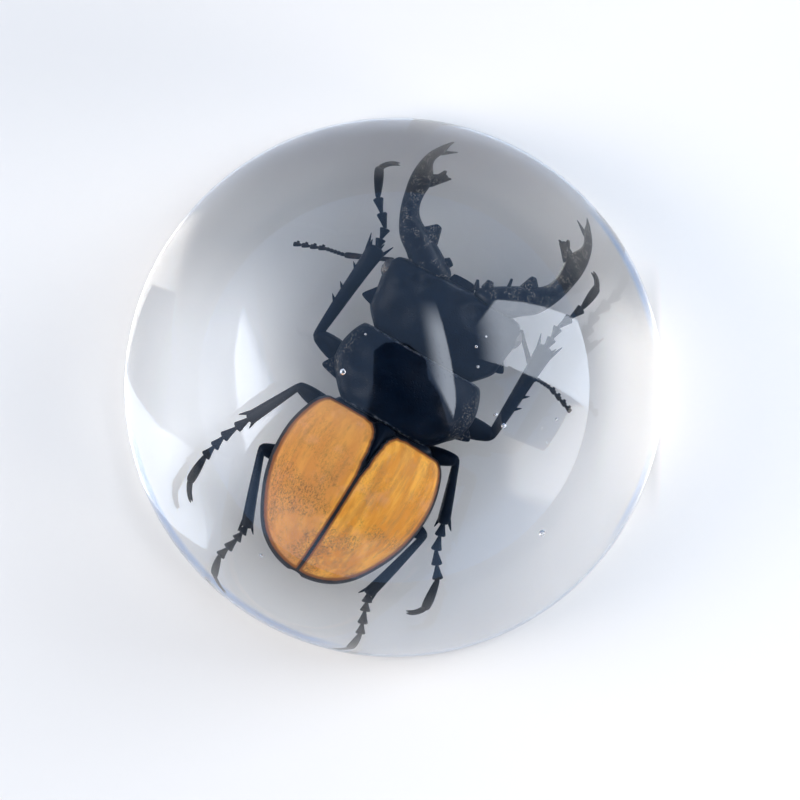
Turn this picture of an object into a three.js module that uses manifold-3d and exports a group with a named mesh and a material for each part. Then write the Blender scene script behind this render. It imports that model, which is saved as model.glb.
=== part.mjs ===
// A male stag beetle cast in a clear resin dome, as it sits on a desk.
// Millimetres, +Z up. The origin is the middle of the dome's flat base, +Y is the way the
// beetle faces and +X is its right side. The dome is poured in two layers that meet level
// with the beetle's legs, and each layer is hollowed by the beetle's own shape.
import * as THREE from "three";
import { ConvexGeometry } from "three/addons/geometries/ConvexGeometry.js";
import { LoftGeometry } from "three/addons/geometries/LoftGeometry.js";
import { mergeVertices } from "three/addons/utils/BufferGeometryUtils.js";
import Module from "manifold-3d";

const wasm = await Module();
wasm.setup();

// ---- The dome ----
const domeRadius = 45;
const domeSides = 48;
const domeRows = 10;
const baseBevel = 0.8;
const partingHeight = 9.2;

// ---- Gaps ----
const pieceGap = 0.3;
const pocketRoom = 0.45;

// ---- The beetle's place in the dome: it leans a little to its right, about the height of its
// side edges, and its hind part is turned a little about the tail ----
const beetleX = 0.95;
const leanDegrees = 4.5;
const leanHeight = 11;
const hindTurnDegrees = -1;

// ---- Body sections, each from its back to its front:
// [y, half width, top, height of the side edge, bottom] ----
const bodySides = 16;
const bodyFullness = 0.72;
const headRows = [
  [5.85, 7.1, 14.6, 11.7, 9.2],
  [7.9, 8.7, 15.5, 11.8, 8.6],
  [9.7, 8.8, 15.8, 11.9, 8.4],
  [11.9, 9.4, 15.6, 11.9, 8.5],
  [13.8, 9.0, 14.9, 11.9, 9.0],
  [14.9, 7.8, 14.0, 11.9, 9.8],
];
const pronotumRows = [
  [-4.5, 5.5, 15.7, 12.0, 9.2],
  [-3.8, 6.7, 16.3, 12.0, 8.4],
  [-2.8, 7.5, 16.7, 12.0, 7.9],
  [-1.5, 8.8, 17.0, 12.0, 7.5],
  [0.8, 9.25, 17.1, 12.0, 7.3],
  [2.8, 9.05, 16.9, 12.0, 7.4],
  [4.4, 8.5, 16.4, 12.0, 7.9],
  [5.25, 7.6, 15.7, 12.0, 8.6],
];
const wingCaseRows = [
  [-27.2, 1.1, 11.0, 9.9],
  [-26.7, 3.2, 12.2, 9.9],
  [-25.4, 5.3, 13.8, 10.0],
  [-23.3, 7.1, 15.5, 10.1],
  [-21.0, 8.3, 16.6, 10.2],
  [-18.2, 9.25, 17.4, 10.3],
  [-15.4, 9.9, 17.9, 10.4],
  [-12.5, 10.2, 18.1, 10.5],
  [-9.8, 10.1, 18.0, 10.7],
  [-7.6, 9.6, 17.6, 10.9],
  [-5.9, 8.9, 16.9, 11.1],
  [-4.9, 7.9, 16.1, 11.2],
];
const wingCaseThickness = 0.9;
const wingCaseTuck = 0.5;
const bellyHeight = 6.6;
const waistSection = { halfWidth: 7.4, back: -5.4, front: -4.0, top: 15 };

// ---- Thorns of the head and pronotum, given for the right side, and the eye and lip ----
const headTooth = { tip: [9.75, 7.9, 11.8], foot: [8.2, 8.2, 11.8], size: 1.7 };
const pronotumSpine = { tip: [9.75, -1.6, 12.0], foot: [8.3, -0.7, 12.0], size: 1.6 };
const eye = { centre: [8.75, 12.0, 11.9], radius: 1.15, sides: 8, rows: 6 };
const lip = { halfWidth: 2.6, back: 14.2, front: 16.3, middle: 9.9, thickness: 1.3 };

// ---- Scutellum: the black wedge between the wing cases, as [y, half width] from its point ----
const scutellumEdge = [[-10.2, 0.22], [-7.4, 0.5], [-6.2, 0.8], [-5.5, 1.25], [-4.9, 1.9]];
const scutellumSink = 0.25;

// ---- Mandible seen from above, from the outer root round the tip to the inner root; x is
// given for the right side, and the teeth at the root differ from side to side ----
const mandibleBlade = [
  [7.7, 15.3], [9.2, 16.1], [10.7, 17.9], [11.7, 20.0], [12.5, 22.3], [13.1, 24.8],
  [13.4, 27.3], [13.4, 29.4], [13.1, 31.5], [12.4, 33.3], [11.8, 34.9], [11.25, 35.9],
  [11.4, 34.2], [11.1, 33.4], [9.9, 33.3], [10.6, 32.4], [11.5, 31.2], [11.9, 29.6],
  [11.7, 28.2], [11.2, 27.5], [10.7, 27.2], [10.3, 27.8], [9.95, 28.8], [9.7, 28.0],
  [8.6, 27.8], [9.1, 27.0], [9.8, 25.9], [10.2, 24.3], [10.1, 22.6], [9.7, 21.1],
  [9.0, 20.0], [8.2, 19.2], [7.4, 19.3], [6.6, 20.5], [5.9, 19.6], [5.2, 18.5],
  [5.0, 17.6], [4.2, 16.9],
];
const rootTeethRight = [
  [3.9, 17.9], [3.6, 18.5], [3.5, 17.0], [2.9, 16.8], [2.3, 17.0], [1.7, 16.3], [1.3, 16.5],
  [0.9, 15.9], [0.9, 15.3],
];
const rootTeethLeft = [[3.5, 16.6], [2.9, 17.0], [2.2, 17.0], [1.7, 16.5], [1.5, 15.8], [1.5, 15.3]];
const mandibleRoomOutline = [
  [8.2, 14.6], [10.2, 16.0], [12.0, 18.9], [13.3, 22.2], [14.1, 26.8], [14.0, 31.3],
  [12.2, 36.4], [11.2, 37.0], [10.6, 34.4], [9.1, 33.7], [10.0, 31.6], [9.6, 29.6],
  [7.7, 28.6], [9.0, 25.2], [8.2, 20.4], [6.5, 21.4], [4.3, 19.4], [2.2, 17.9], [0.2, 17.2],
  [0.2, 14.6],
];
const mandiblePlate = 1.5;
const mandibleRootHeight = 11.9;
const mandibleDroop = 0.0042;
const mandibleCoreSides = 6;
const mandibleCore = [
  { at: [5.9, 15.0], width: 4.8, height: 3.6 },
  { at: [8.6, 17.4], width: 3.0, height: 3.4 },
  { at: [10.95, 21.2], width: 1.9, height: 2.9 },
  { at: [11.8, 25.6], width: 2.2, height: 2.5 },
  { at: [12.7, 29.6], width: 1.0, height: 2.2 },
  { at: [12.2, 32.4], width: 0.7, height: 1.9 },
];

// ---- Antennae: root, elbow and tip of each side ----
const antennae = {
  left: { root: [-8.9, 12.9, 9.3], elbow: [-13.1, 10.3, 6.7], club: [-16.0, 10.2, 6.4],
    tip: [-19.9, 8.8, 6.0] },
  right: { root: [8.7, 13.2, 9.3], elbow: [11.9, 9.4, 6.7], club: [15.0, 9.2, 6.4],
    tip: [18.8, 8.0, 6.0] },
};
const antennaWidth = 0.7;
const antennaBeads = 4;
const clubWidth = 1.1;
const clubBeads = 3;

// ---- Legs: the joints of each leg, as it was spread when it dried ----
const limbSides = 5;
const roomSides = 4;
const legs = {
  front_leg_left: {
    hip: [-4.6, -0.4, 8.6], knee: [-12.0, 0.9, 9.6], ankle: [-11.1, 13.4, 9.2],
    tarsus: [[-11.5, 16.2, 8.7], [-14.3, 19.2, 7.8]], toe: [-16.4, 23.1, 6.4],
    claw: [-14.1, 24.5, 5.6], femur: 2.9, tibia: 1.6, spines: 3,
  },
  front_leg_right: {
    hip: [4.6, -0.4, 8.6], knee: [12.1, 0.9, 9.6], ankle: [12.75, 13.3, 9.2],
    tarsus: [[12.8, 16.4, 8.5], [14.4, 20.2, 7.5]], toe: [15.1, 24.0, 6.4],
    claw: [13.4, 25.2, 5.8], femur: 2.9, tibia: 1.6, spines: 3,
  },
  middle_leg_left: {
    hip: [-4.2, -6.2, 8.0], knee: [-10.9, -5.6, 10.4], ankle: [-13.6, -11.4, 4.9],
    tarsus: [[-15.3, -15.0, 4.0], [-16.2, -18.2, 3.6]], toe: [-16.7, -22.3, 3.2],
    claw: [-15.3, -24.5, 2.9], femur: 2.3, tibia: 1.5, spines: 0,
  },
  middle_leg_right: {
    hip: [4.2, -5.4, 8.0], knee: [10.0, -3.9, 10.4], ankle: [11.8, -10.6, 4.9],
    tarsus: [[12.7, -13.9, 4.0], [14.8, -17.0, 3.6]], toe: [15.7, -21.4, 3.2],
    claw: [13.8, -22.7, 2.9], femur: 2.3, tibia: 1.5, spines: 0,
  },
  hind_leg_left: {
    hip: [-4.4, -12.6, 6.9], knee: [-11.0, -14.2, 7.9], ankle: [-7.9, -23.2, 4.7],
    tarsus: [[-8.3, -25.6, 4.1], [-9.4, -29.5, 3.7]], toe: [-9.4, -34.6, 3.3],
    claw: [-7.0, -37.6, 2.9], femur: 2.4, tibia: 1.5, spines: 0,
  },
  hind_leg_right: {
    hip: [4.4, -12.4, 6.9], knee: [11.1, -13.7, 7.9], ankle: [8.8, -23.0, 4.7],
    tarsus: [[9.7, -25.6, 4.1], [11.2, -29.8, 3.7]], toe: [12.2, -35.6, 3.3],
    claw: [10.2, -39.3, 2.9], femur: 2.4, tibia: 1.5, spines: 0,
  },
};
const spineReach = 0.9;
const spineFoot = 0.9;
const spurLength = 1.5;
const spurSpread = 0.5;
const spurFoot = 0.7;
const clawArch = 0.5;
const tarsusBeads = 4;
const tarsusWidth = 0.95;
const tarsusNeck = 0.45;
const toeWidth = 0.75;
const clawWidth = 0.5;
const clawSpread = 0.7;
const pointWidth = 0.16;

// ---- The pocket's room around head, pronotum and wing cases, in the same form as their rows ----
const trunkRoomRows = [
  [-27.9, 2.4, 12.2, 10.0, 8.2],
  [-25.8, 6.6, 15.2, 10.0, 6.1],
  [-21.4, 9.3, 17.6, 10.2, 6.0],
  [-15.6, 10.8, 18.9, 10.5, 6.0],
  [-9.6, 10.9, 19.0, 11.0, 6.0],
  [-3.0, 10.5, 18.4, 11.6, 6.2],
  [2.6, 10.6, 18.2, 11.9, 6.4],
  [8.0, 10.6, 17.4, 11.9, 7.2],
  [13.2, 10.6, 16.8, 11.9, 7.4],
  [16.9, 8.6, 14.6, 11.9, 8.8],
];

// ---- Materials ----
const resinClear = new THREE.MeshStandardMaterial({
  color: "#e4e8ee", roughness: 0.04, metalness: 0, transparent: true, opacity: 0.3,
});
const blackCuticle = new THREE.MeshStandardMaterial({ color: "#10131a", roughness: 0.28, metalness: 0 });
const goldenWingCase = new THREE.MeshStandardMaterial({ color: "#c98a35", roughness: 0.42, metalness: 0 });

// A geometry with its shared points merged, as a solid that can be joined and cut.
function solidOf(geometry) {
  const bare = new THREE.BufferGeometry().copy(geometry);
  bare.deleteAttribute("normal");
  bare.deleteAttribute("uv");
  const merged = mergeVertices(bare, 1e-5);
  return new wasm.Manifold(new wasm.Mesh({
    numProp: 3,
    vertProperties: new Float32Array(merged.attributes.position.array),
    triVerts: new Uint32Array(merged.index.array),
  }));
}

function joined(solids) {
  return solids.reduce((whole, next) => whole.add(next));
}

function mirrored(points) {
  return points.map(([x, ...rest]) => [-x, ...rest]);
}

// A solid turned and moved as a matrix says.
function placed(solid, matrix) {
  const { vertProperties, triVerts } = solid.getMesh();
  const geometry = new THREE.BufferGeometry();
  geometry.setAttribute("position", new THREE.BufferAttribute(vertProperties, 3));
  geometry.setIndex(new THREE.BufferAttribute(triVerts, 1));
  return solidOf(geometry.applyMatrix4(matrix));
}

// The lean of the whole trunk, and the slight turn that its hind part has besides.
const leaned = new THREE.Matrix4().makeTranslation(0, 0, leanHeight)
  .multiply(new THREE.Matrix4().makeRotationY(THREE.MathUtils.degToRad(leanDegrees)))
  .multiply(new THREE.Matrix4().makeTranslation(0, 0, -leanHeight));
const tailEnd = wingCaseRows[0][0];
const hindPlace = leaned.clone()
  .multiply(new THREE.Matrix4().makeTranslation(0, tailEnd, 0))
  .multiply(new THREE.Matrix4().makeRotationZ(THREE.MathUtils.degToRad(hindTurnDegrees)))
  .multiply(new THREE.Matrix4().makeTranslation(0, -tailEnd, 0));

function block([x0, y0, z0], [x1, y1, z1]) {
  const box = new THREE.BoxGeometry(x1 - x0, y1 - y0, z1 - z0);
  box.translate((x0 + x1) / 2, (y0 + y1) / 2, (z0 + z1) / 2);
  return solidOf(box);
}

// A body part: oval sections across the beetle, in order of rising y, grown by `room` all round.
function bodyPart(rows, room = 0) {
  const last = rows.length - 1;
  const sections = rows.map(([y, halfWidth, top, edge, bottom], row) => {
    const endRoom = (row === last ? room : 0) - (row === 0 ? room : 0);
    return Array.from({ length: bodySides }, (_, side) => {
      const angle = (side / bodySides) * 2 * Math.PI;
      const rise = Math.sin(angle);
      const reach = rise > 0 ? top - edge + room : edge - bottom + room;
      const lift = Math.sign(rise) * Math.abs(rise) ** bodyFullness * reach;
      return new THREE.Vector3(-(halfWidth + room) * Math.cos(angle), y + endRoom, edge + lift);
    });
  });
  return solidOf(new LoftGeometry(sections, { capStart: true, capEnd: true }));
}

// A limb: oval rings strung along a path of points, each ring { at, width, height }, and a room
// grown around all of it.
function limb(rings, sides = limbSides, room = 0) {
  const points = rings.map(({ at }) => new THREE.Vector3(...at));
  const last = points.length - 1;
  const runs = points.map((point, i) => {
    const ahead = points[Math.min(i + 1, last)].clone().sub(point).normalize();
    const behind = point.clone().sub(points[Math.max(i - 1, 0)]).normalize();
    return ahead.add(behind).normalize();
  });
  points[0].addScaledVector(runs[0], -room);
  points[last].addScaledVector(runs[last], room);
  const sections = rings.map(({ width, height }, i) => {
    const across = new THREE.Vector3().crossVectors(runs[i], new THREE.Vector3(0, 0, 1)).normalize();
    const over = new THREE.Vector3().crossVectors(across, runs[i]);
    return Array.from({ length: sides }, (_, side) => {
      const angle = ((side + 0.5) / sides) * 2 * Math.PI;
      return points[i].clone()
        .addScaledVector(across, -(width / 2 + room) * Math.cos(angle))
        .addScaledVector(over, (height / 2 + room) * Math.sin(angle));
    });
  });
  return solidOf(new LoftGeometry(sections, { capStart: true, capEnd: true }));
}

// A point part of the way from one point to another, or past it.
function between(start, end, place) {
  return start.map((value, axis) => value + (end[axis] - value) * place);
}

// A ring part of the way between two points.
function ring(start, end, place, width, height = width) {
  return { at: between(start, end, place), width, height };
}

// A thorn: a pyramid from a square foot to its tip.
function thorn(tip, foot, size) {
  const axis = new THREE.Vector3(...tip).sub(new THREE.Vector3(...foot)).normalize();
  const across = new THREE.Vector3(0, 0, 1).cross(axis).normalize().multiplyScalar(size / 2);
  const over = new THREE.Vector3(0, 0, size / 3);
  const base = new THREE.Vector3(...foot);
  return solidOf(new ConvexGeometry([
    new THREE.Vector3(...tip),
    base.clone().add(across).add(over),
    base.clone().add(across).sub(over),
    base.clone().sub(across).add(over),
    base.clone().sub(across).sub(over),
    base.clone().addScaledVector(axis, -size / 2),
  ]));
}

// ---- Head ----
function lipBlock(room = 0) {
  const { halfWidth, back, front, middle, thickness } = lip;
  return block(
    [-halfWidth - room, back, middle - thickness / 2 - room],
    [halfWidth + room, front + room, middle + thickness / 2 + room],
  );
}

function makeHead() {
  const parts = [bodyPart(headRows), lipBlock()];
  for (const side of [-1, 1]) {
    const ball = new THREE.SphereGeometry(eye.radius, eye.sides, eye.rows);
    ball.translate(side * eye.centre[0], eye.centre[1], eye.centre[2]);
    parts.push(solidOf(ball));
    const points = [headTooth.tip, headTooth.foot];
    const [tip, foot] = side < 0 ? mirrored(points) : points;
    parts.push(thorn(tip, foot, headTooth.size));
  }
  return joined(parts);
}

// ---- Pronotum ----
function makePronotum() {
  const right = thorn(pronotumSpine.tip, pronotumSpine.foot, pronotumSpine.size);
  const [tip, foot] = mirrored([pronotumSpine.tip, pronotumSpine.foot]);
  return joined([bodyPart(pronotumRows), right, thorn(tip, foot, pronotumSpine.size)]);
}

// ---- Wing cases: a thin domed shell over the hind body, split down the middle ----
function wingCaseRowsInset(inset, bottom) {
  const tail = wingCaseRows[0][0];
  const front = wingCaseRows[wingCaseRows.length - 1][0];
  return wingCaseRows.map(([y, halfWidth, top, edge]) => {
    const drawnIn = y + (inset * (front - y)) / (front - tail);
    const narrow = Math.max(halfWidth - inset, 0.4);
    return [drawnIn, narrow, Math.max(top - inset, edge + 0.3), edge, bottom(edge)];
  });
}

function scutellumWedge(room) {
  const right = scutellumEdge.map(([y, halfWidth]) => new THREE.Vector2(halfWidth + room, y));
  const left = scutellumEdge.map(([y, halfWidth]) => new THREE.Vector2(-halfWidth - room, y));
  right[0].y -= room;
  left[0].y -= room;
  const plan = new THREE.Shape([...right, ...left.reverse()]);
  const wedge = new THREE.ExtrudeGeometry(plan, { depth: 14, bevelEnabled: false });
  wedge.translate(0, 0, bellyHeight + 2);
  return solidOf(wedge);
}

function makeWingCases() {
  const outer = bodyPart(wingCaseRowsInset(0, (edge) => edge - wingCaseTuck));
  const inner = bodyPart(wingCaseRowsInset(wingCaseThickness, () => 0));
  const shell = outer.subtract(inner).subtract(scutellumWedge(pieceGap));
  const suture = pieceGap / 2;
  return {
    left: shell.subtract(block([-suture, -domeRadius, 0], [domeRadius, 0, domeRadius])),
    right: shell.subtract(block([-domeRadius, -domeRadius, 0], [suture, 0, domeRadius])),
  };
}

// ---- Hind body: middle and hind thorax, belly and scutellum in one ----
function makeHindBody() {
  const inset = wingCaseThickness + pieceGap;
  const belly = bodyPart(wingCaseRowsInset(inset, () => bellyHeight));
  const outer = bodyPart(wingCaseRowsInset(scutellumSink, () => bellyHeight));
  return belly.add(scutellumWedge(0).intersect(outer));
}

// ---- Mandibles: a toothed plate on a thicker curved core, drooping towards the tips ----
function mandibleHeight(y) {
  return mandibleRootHeight - mandibleDroop * (y - mandibleCore[0].at[1]) ** 2;
}

function drooped(geometry) {
  const places = geometry.attributes.position;
  for (let i = 0; i < places.count; i++) {
    places.setZ(i, places.getZ(i) + mandibleHeight(places.getY(i)));
  }
  return geometry;
}

function plate(outline, thickness) {
  const shape = new THREE.Shape(outline.map(([x, y]) => new THREE.Vector2(x, y)));
  const geometry = new THREE.ExtrudeGeometry(shape, { depth: thickness, bevelEnabled: false });
  geometry.translate(0, 0, -thickness / 2);
  return solidOf(drooped(geometry));
}

function makeMandible(side) {
  const outline = side < 0
    ? mirrored([...mandibleBlade, ...rootTeethLeft])
    : [...mandibleBlade, ...rootTeethRight];
  const core = mandibleCore.map(({ at: [x, y], width, height }) => (
    { at: [side * x, y, mandibleHeight(y)], width, height }
  ));
  return plate(outline, mandiblePlate).add(limb(core, mandibleCoreSides));
}

function mandibleRoom(side) {
  const outline = side < 0 ? mirrored(mandibleRoomOutline) : mandibleRoomOutline;
  return plate(outline, mandibleCore[0].height + 2 * pocketRoom);
}

// ---- Antennae: a long first joint, a row of beads and a three-bead club ----
// Each bead is thin at its near end and full at its far end.
function beads(start, end, count, neck, width) {
  const rings = [];
  for (let bead = 0; bead < count; bead++) {
    rings.push(ring(start, end, (bead + 0.15) / count, neck));
    rings.push(ring(start, end, (bead + 0.85) / count, width, (width + neck) / 2));
  }
  return rings;
}

function makeAntenna({ root, elbow, club, tip }) {
  return limb([
    ring(root, elbow, 0, antennaWidth * 0.8),
    ring(root, elbow, 0.93, antennaWidth * 1.1),
    ...beads(elbow, club, antennaBeads, antennaWidth * 0.5, antennaWidth),
    ...beads(club, tip, clubBeads, antennaWidth * 0.6, clubWidth),
    ring(club, tip, 1, antennaWidth * 0.6),
  ]);
}

function antennaRoom({ root, elbow, club, tip }) {
  return limb([
    ring(root, elbow, 0, antennaWidth * 1.4),
    ring(root, elbow, 1, antennaWidth * 1.6),
    ring(club, tip, 0, clubWidth * 1.3, antennaWidth * 1.3),
    ring(club, tip, 1, clubWidth * 1.3, antennaWidth * 1.3),
  ], roomSides, pocketRoom);
}

// ---- Legs ----
// Thigh, then shin, foot beads and last foot joint in one run; two claws hook from its end.
// The outer edge of a front shin carries thorns, and every shin ends in two spurs.
function makeLeg({ hip, knee, ankle, tarsus, toe, claw, femur, tibia, spines }) {
  const [heel, lastBead] = tarsus;
  const thigh = limb([
    ring(hip, knee, 0, femur * 0.8),
    ring(hip, knee, 0.55, femur, femur * 0.85),
    ring(hip, knee, 1, femur * 0.6),
  ]);
  const shinAndFoot = limb([
    ring(knee, ankle, -0.04, tibia * 0.8),
    ring(knee, ankle, 0.5, tibia, tibia * 0.85),
    ring(knee, ankle, 0.98, tibia * 1.25, tibia * 0.9),
    ...beads(ankle, heel, tarsusBeads / 2, tarsusNeck, tarsusWidth),
    ...beads(heel, lastBead, tarsusBeads / 2, tarsusNeck, tarsusWidth),
    ring(lastBead, toe, 0.1, tarsusNeck * 0.8),
    ring(lastBead, toe, 0.9, toeWidth, toeWidth * 0.9),
    ring(lastBead, toe, 1, toeWidth * 0.5),
  ]);
  const parts = [thigh, shinAndFoot];
  const side = Math.sign(knee[0]);
  const run = new THREE.Vector3(...ankle).sub(new THREE.Vector3(...knee)).normalize();
  const out = new THREE.Vector3(run.y, -run.x, 0).normalize().multiplyScalar(side * Math.sign(run.y));
  for (let spine = 0; spine < spines; spine++) {
    const foot = new THREE.Vector3(...between(knee, ankle, 0.4 + spine * 0.2));
    foot.addScaledVector(out, tibia * 0.25);
    const tip = foot.clone().addScaledVector(out, spineReach).addScaledVector(run, spineFoot * 0.5);
    parts.push(thorn(tip.toArray(), foot.toArray(), spineFoot));
  }
  for (const spread of [-1, 1]) {
    const foot = new THREE.Vector3(...between(knee, ankle, 0.97)).addScaledVector(out, spread * tibia * 0.3);
    const tip = foot.clone().addScaledVector(run, spurLength).addScaledVector(out, spread * spurSpread);
    parts.push(thorn(tip.toArray(), foot.toArray(), spurFoot));
  }
  const swing = new THREE.Vector3(...toe).sub(new THREE.Vector3(...lastBead)).normalize();
  for (const spread of [-1, 1]) {
    const bend = new THREE.Vector3(...between(toe, claw, 0.4)).addScaledVector(swing, clawArch);
    parts.push(limb([
      ring(lastBead, toe, 0.93, clawWidth),
      { at: bend.toArray(), width: clawWidth, height: clawWidth },
      { at: [claw[0], claw[1], claw[2] + spread * clawSpread], width: pointWidth, height: pointWidth },
    ], roomSides));
  }
  return joined(parts);
}

function legRoom({ hip, knee, ankle, tarsus, toe, claw, femur, tibia, spines }) {
  const [heel, lastBead] = tarsus;
  const shin = tibia * 1.7 + (spines > 0 ? 1.9 * spineReach : 0.6);
  const foot = tarsusWidth * 1.5;
  return joined([
    limb([
      ring(hip, knee, 0, femur * 1.4, femur * 1.3),
      ring(hip, knee, 1.05, femur * 1.2, femur),
    ], roomSides, pocketRoom),
    limb([
      ring(knee, ankle, 0, tibia * 1.6),
      ring(knee, ankle, 0.4, shin, tibia * 1.5),
      ring(knee, ankle, 1.08, shin, tibia * 1.5),
      ring(ankle, heel, 0.6, foot),
      ring(heel, lastBead, 0, foot),
      ring(lastBead, toe, 0, foot),
      ring(lastBead, toe, 0.85, foot, foot * 1.2),
      { at: between(toe, claw, 0.5), width: foot * 1.2, height: foot * 2 },
      { at: claw, width: foot * 0.6, height: foot * 1.9 },
    ], roomSides, pocketRoom),
  ]);
}

// ---- Dome: two pours, each a turned solid, hollowed by the beetle ----
function turned(profile) {
  const lathe = new THREE.LatheGeometry(profile.map(([r, z]) => new THREE.Vector2(r, z)), domeSides);
  lathe.rotateX(Math.PI / 2);
  return solidOf(lathe);
}

function domeArc(fromHeight, rows) {
  const start = Math.asin(fromHeight / domeRadius);
  return Array.from({ length: rows + 1 }, (_, row) => {
    const angle = start + ((Math.PI / 2 - start) * row) / rows;
    return [domeRadius * Math.cos(angle), domeRadius * Math.sin(angle)];
  });
}

function makeDome() {
  const joint = partingHeight + pieceGap;
  const arc = domeArc(joint, domeRows);
  arc[arc.length - 1] = [0, domeRadius];
  return turned([[0, joint], ...arc]);
}

function makeBase() {
  const lowerArc = [baseBevel, partingHeight / 2, partingHeight].map((height) => [
    Math.sqrt(domeRadius ** 2 - height ** 2), height,
  ]);
  return turned([[0, 0], [domeRadius - baseBevel, 0], ...lowerArc, [0, partingHeight]]);
}

// ---- Assembly ----
const model = new THREE.Group();
const beetle = new THREE.Group();
beetle.position.x = beetleX;
model.add(beetle);

function addPiece(group, name, solid, material) {
  const mesh = solid.getMesh();
  const geometry = new THREE.BufferGeometry();
  geometry.setAttribute("position", new THREE.BufferAttribute(mesh.vertProperties, 3));
  geometry.setIndex(new THREE.BufferAttribute(mesh.triVerts, 1));
  geometry.computeVertexNormals();
  const piece = new THREE.Mesh(geometry, material);
  piece.name = name;
  group.add(piece);
}

const headRoomy = bodyPart(headRows, pieceGap);
const waist = block(
  [-waistSection.halfWidth, waistSection.back, bellyHeight],
  [waistSection.halfWidth, waistSection.front, waistSection.top],
);
const trunkRoomy = joined([
  placed(joined([headRoomy, bodyPart(pronotumRows, pieceGap), waist]), leaned),
  placed(bodyPart(wingCaseRowsInset(0, () => bellyHeight), pieceGap), hindPlace),
]);

const wingCases = makeWingCases();
addPiece(beetle, "head", placed(makeHead(), leaned), blackCuticle);
addPiece(beetle, "pronotum", placed(makePronotum(), leaned), blackCuticle);
addPiece(beetle, "wing_case_left", placed(wingCases.left, hindPlace), goldenWingCase);
addPiece(beetle, "wing_case_right", placed(wingCases.right, hindPlace), goldenWingCase);
addPiece(beetle, "hind_body", placed(makeHindBody(), hindPlace), blackCuticle);
for (const [word, side] of [["left", -1], ["right", 1]]) {
  const mandible = makeMandible(side).subtract(joined([headRoomy, lipBlock(pieceGap)]));
  const antenna = makeAntenna(antennae[word]).subtract(trunkRoomy);
  addPiece(beetle, `mandible_${word}`, placed(mandible, leaned), blackCuticle);
  addPiece(beetle, `antenna_${word}`, antenna, blackCuticle);
}
for (const [name, leg] of Object.entries(legs)) {
  addPiece(beetle, name, makeLeg(leg).subtract(trunkRoomy), blackCuticle);
}

const pocketInBeetle = joined([
  placed(joined([bodyPart(trunkRoomRows), mandibleRoom(-1), mandibleRoom(1)]), leaned),
  antennaRoom(antennae.left),
  antennaRoom(antennae.right),
  ...Object.values(legs).map(legRoom),
]);
const pocket = placed(pocketInBeetle, new THREE.Matrix4().makeTranslation(beetleX, 0, 0));
addPiece(model, "resin_dome", makeDome().subtract(pocket), resinClear);
addPiece(model, "resin_base", makeBase().subtract(pocket), resinClear);

export default model;
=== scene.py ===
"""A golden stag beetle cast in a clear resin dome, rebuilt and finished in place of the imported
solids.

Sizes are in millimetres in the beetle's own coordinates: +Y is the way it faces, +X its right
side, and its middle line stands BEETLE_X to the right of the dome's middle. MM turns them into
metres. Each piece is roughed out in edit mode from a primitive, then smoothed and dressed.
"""

import math

import bmesh
import bpy
from mathutils import Matrix, Vector


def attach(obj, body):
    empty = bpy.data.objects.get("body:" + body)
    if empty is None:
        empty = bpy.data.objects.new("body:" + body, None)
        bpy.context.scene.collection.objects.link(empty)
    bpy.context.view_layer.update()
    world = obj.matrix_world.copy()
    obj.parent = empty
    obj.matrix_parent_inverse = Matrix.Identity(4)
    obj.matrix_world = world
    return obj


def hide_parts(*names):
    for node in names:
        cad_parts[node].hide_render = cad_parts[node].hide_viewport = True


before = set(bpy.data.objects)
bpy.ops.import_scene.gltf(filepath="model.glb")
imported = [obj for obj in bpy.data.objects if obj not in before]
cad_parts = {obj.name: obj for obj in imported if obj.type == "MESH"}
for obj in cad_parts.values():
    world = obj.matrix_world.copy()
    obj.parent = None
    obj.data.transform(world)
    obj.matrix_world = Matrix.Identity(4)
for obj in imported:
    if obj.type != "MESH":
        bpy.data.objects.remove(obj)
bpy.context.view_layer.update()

MM = 0.001
UP = Vector((0, 0, 1))
BEETLE_X = 0.95
LEAN = math.radians(4.5)
LEAN_HEIGHT = 11.0
HIND_TURN = math.radians(-1)
TAIL_Y = -27.2
SIDES = ((-1, "left"), (1, "right"))

# distances in metres that count as none, and the least angle worth turning by
SAME_PLACE = 1e-6
HARDLY_OFF = 1e-7
NO_LENGTH_SQUARED = 1e-18
EDGE_ROOM = 1e-5
LEAST_TURN = 1e-4

# ---- the dome ----
DOME_RADIUS = 45.0
DOME_SEGMENTS = 256
BASE_BEVEL = 0.8
BASE_BEVEL_STEPS = 4
BASE_INSET = 0.5

# ---- air bubbles: where, radius; and how finely a ball is made ----
BALL_FINENESS = 4
BUBBLES = (
    ((-6.8, -1.6, 21.0), 0.42), ((6.7, 10.0, 19.5), 0.2), ((8.2, 7.8, 19.5), 0.2),
    ((-6.6, 4.1, 19.0), 0.16), ((13.1, 3.5, 17.0), 0.28), ((14.5, 2.7, 15.0), 0.38),
    ((22.0, 7.5, 22.0), 0.22), ((-4.1, -28.3, 12.0), 0.28), ((7.3, 12.0, 21.0), 0.16),
    ((26.6, -6.9, 12.0), 0.45),
)

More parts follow.
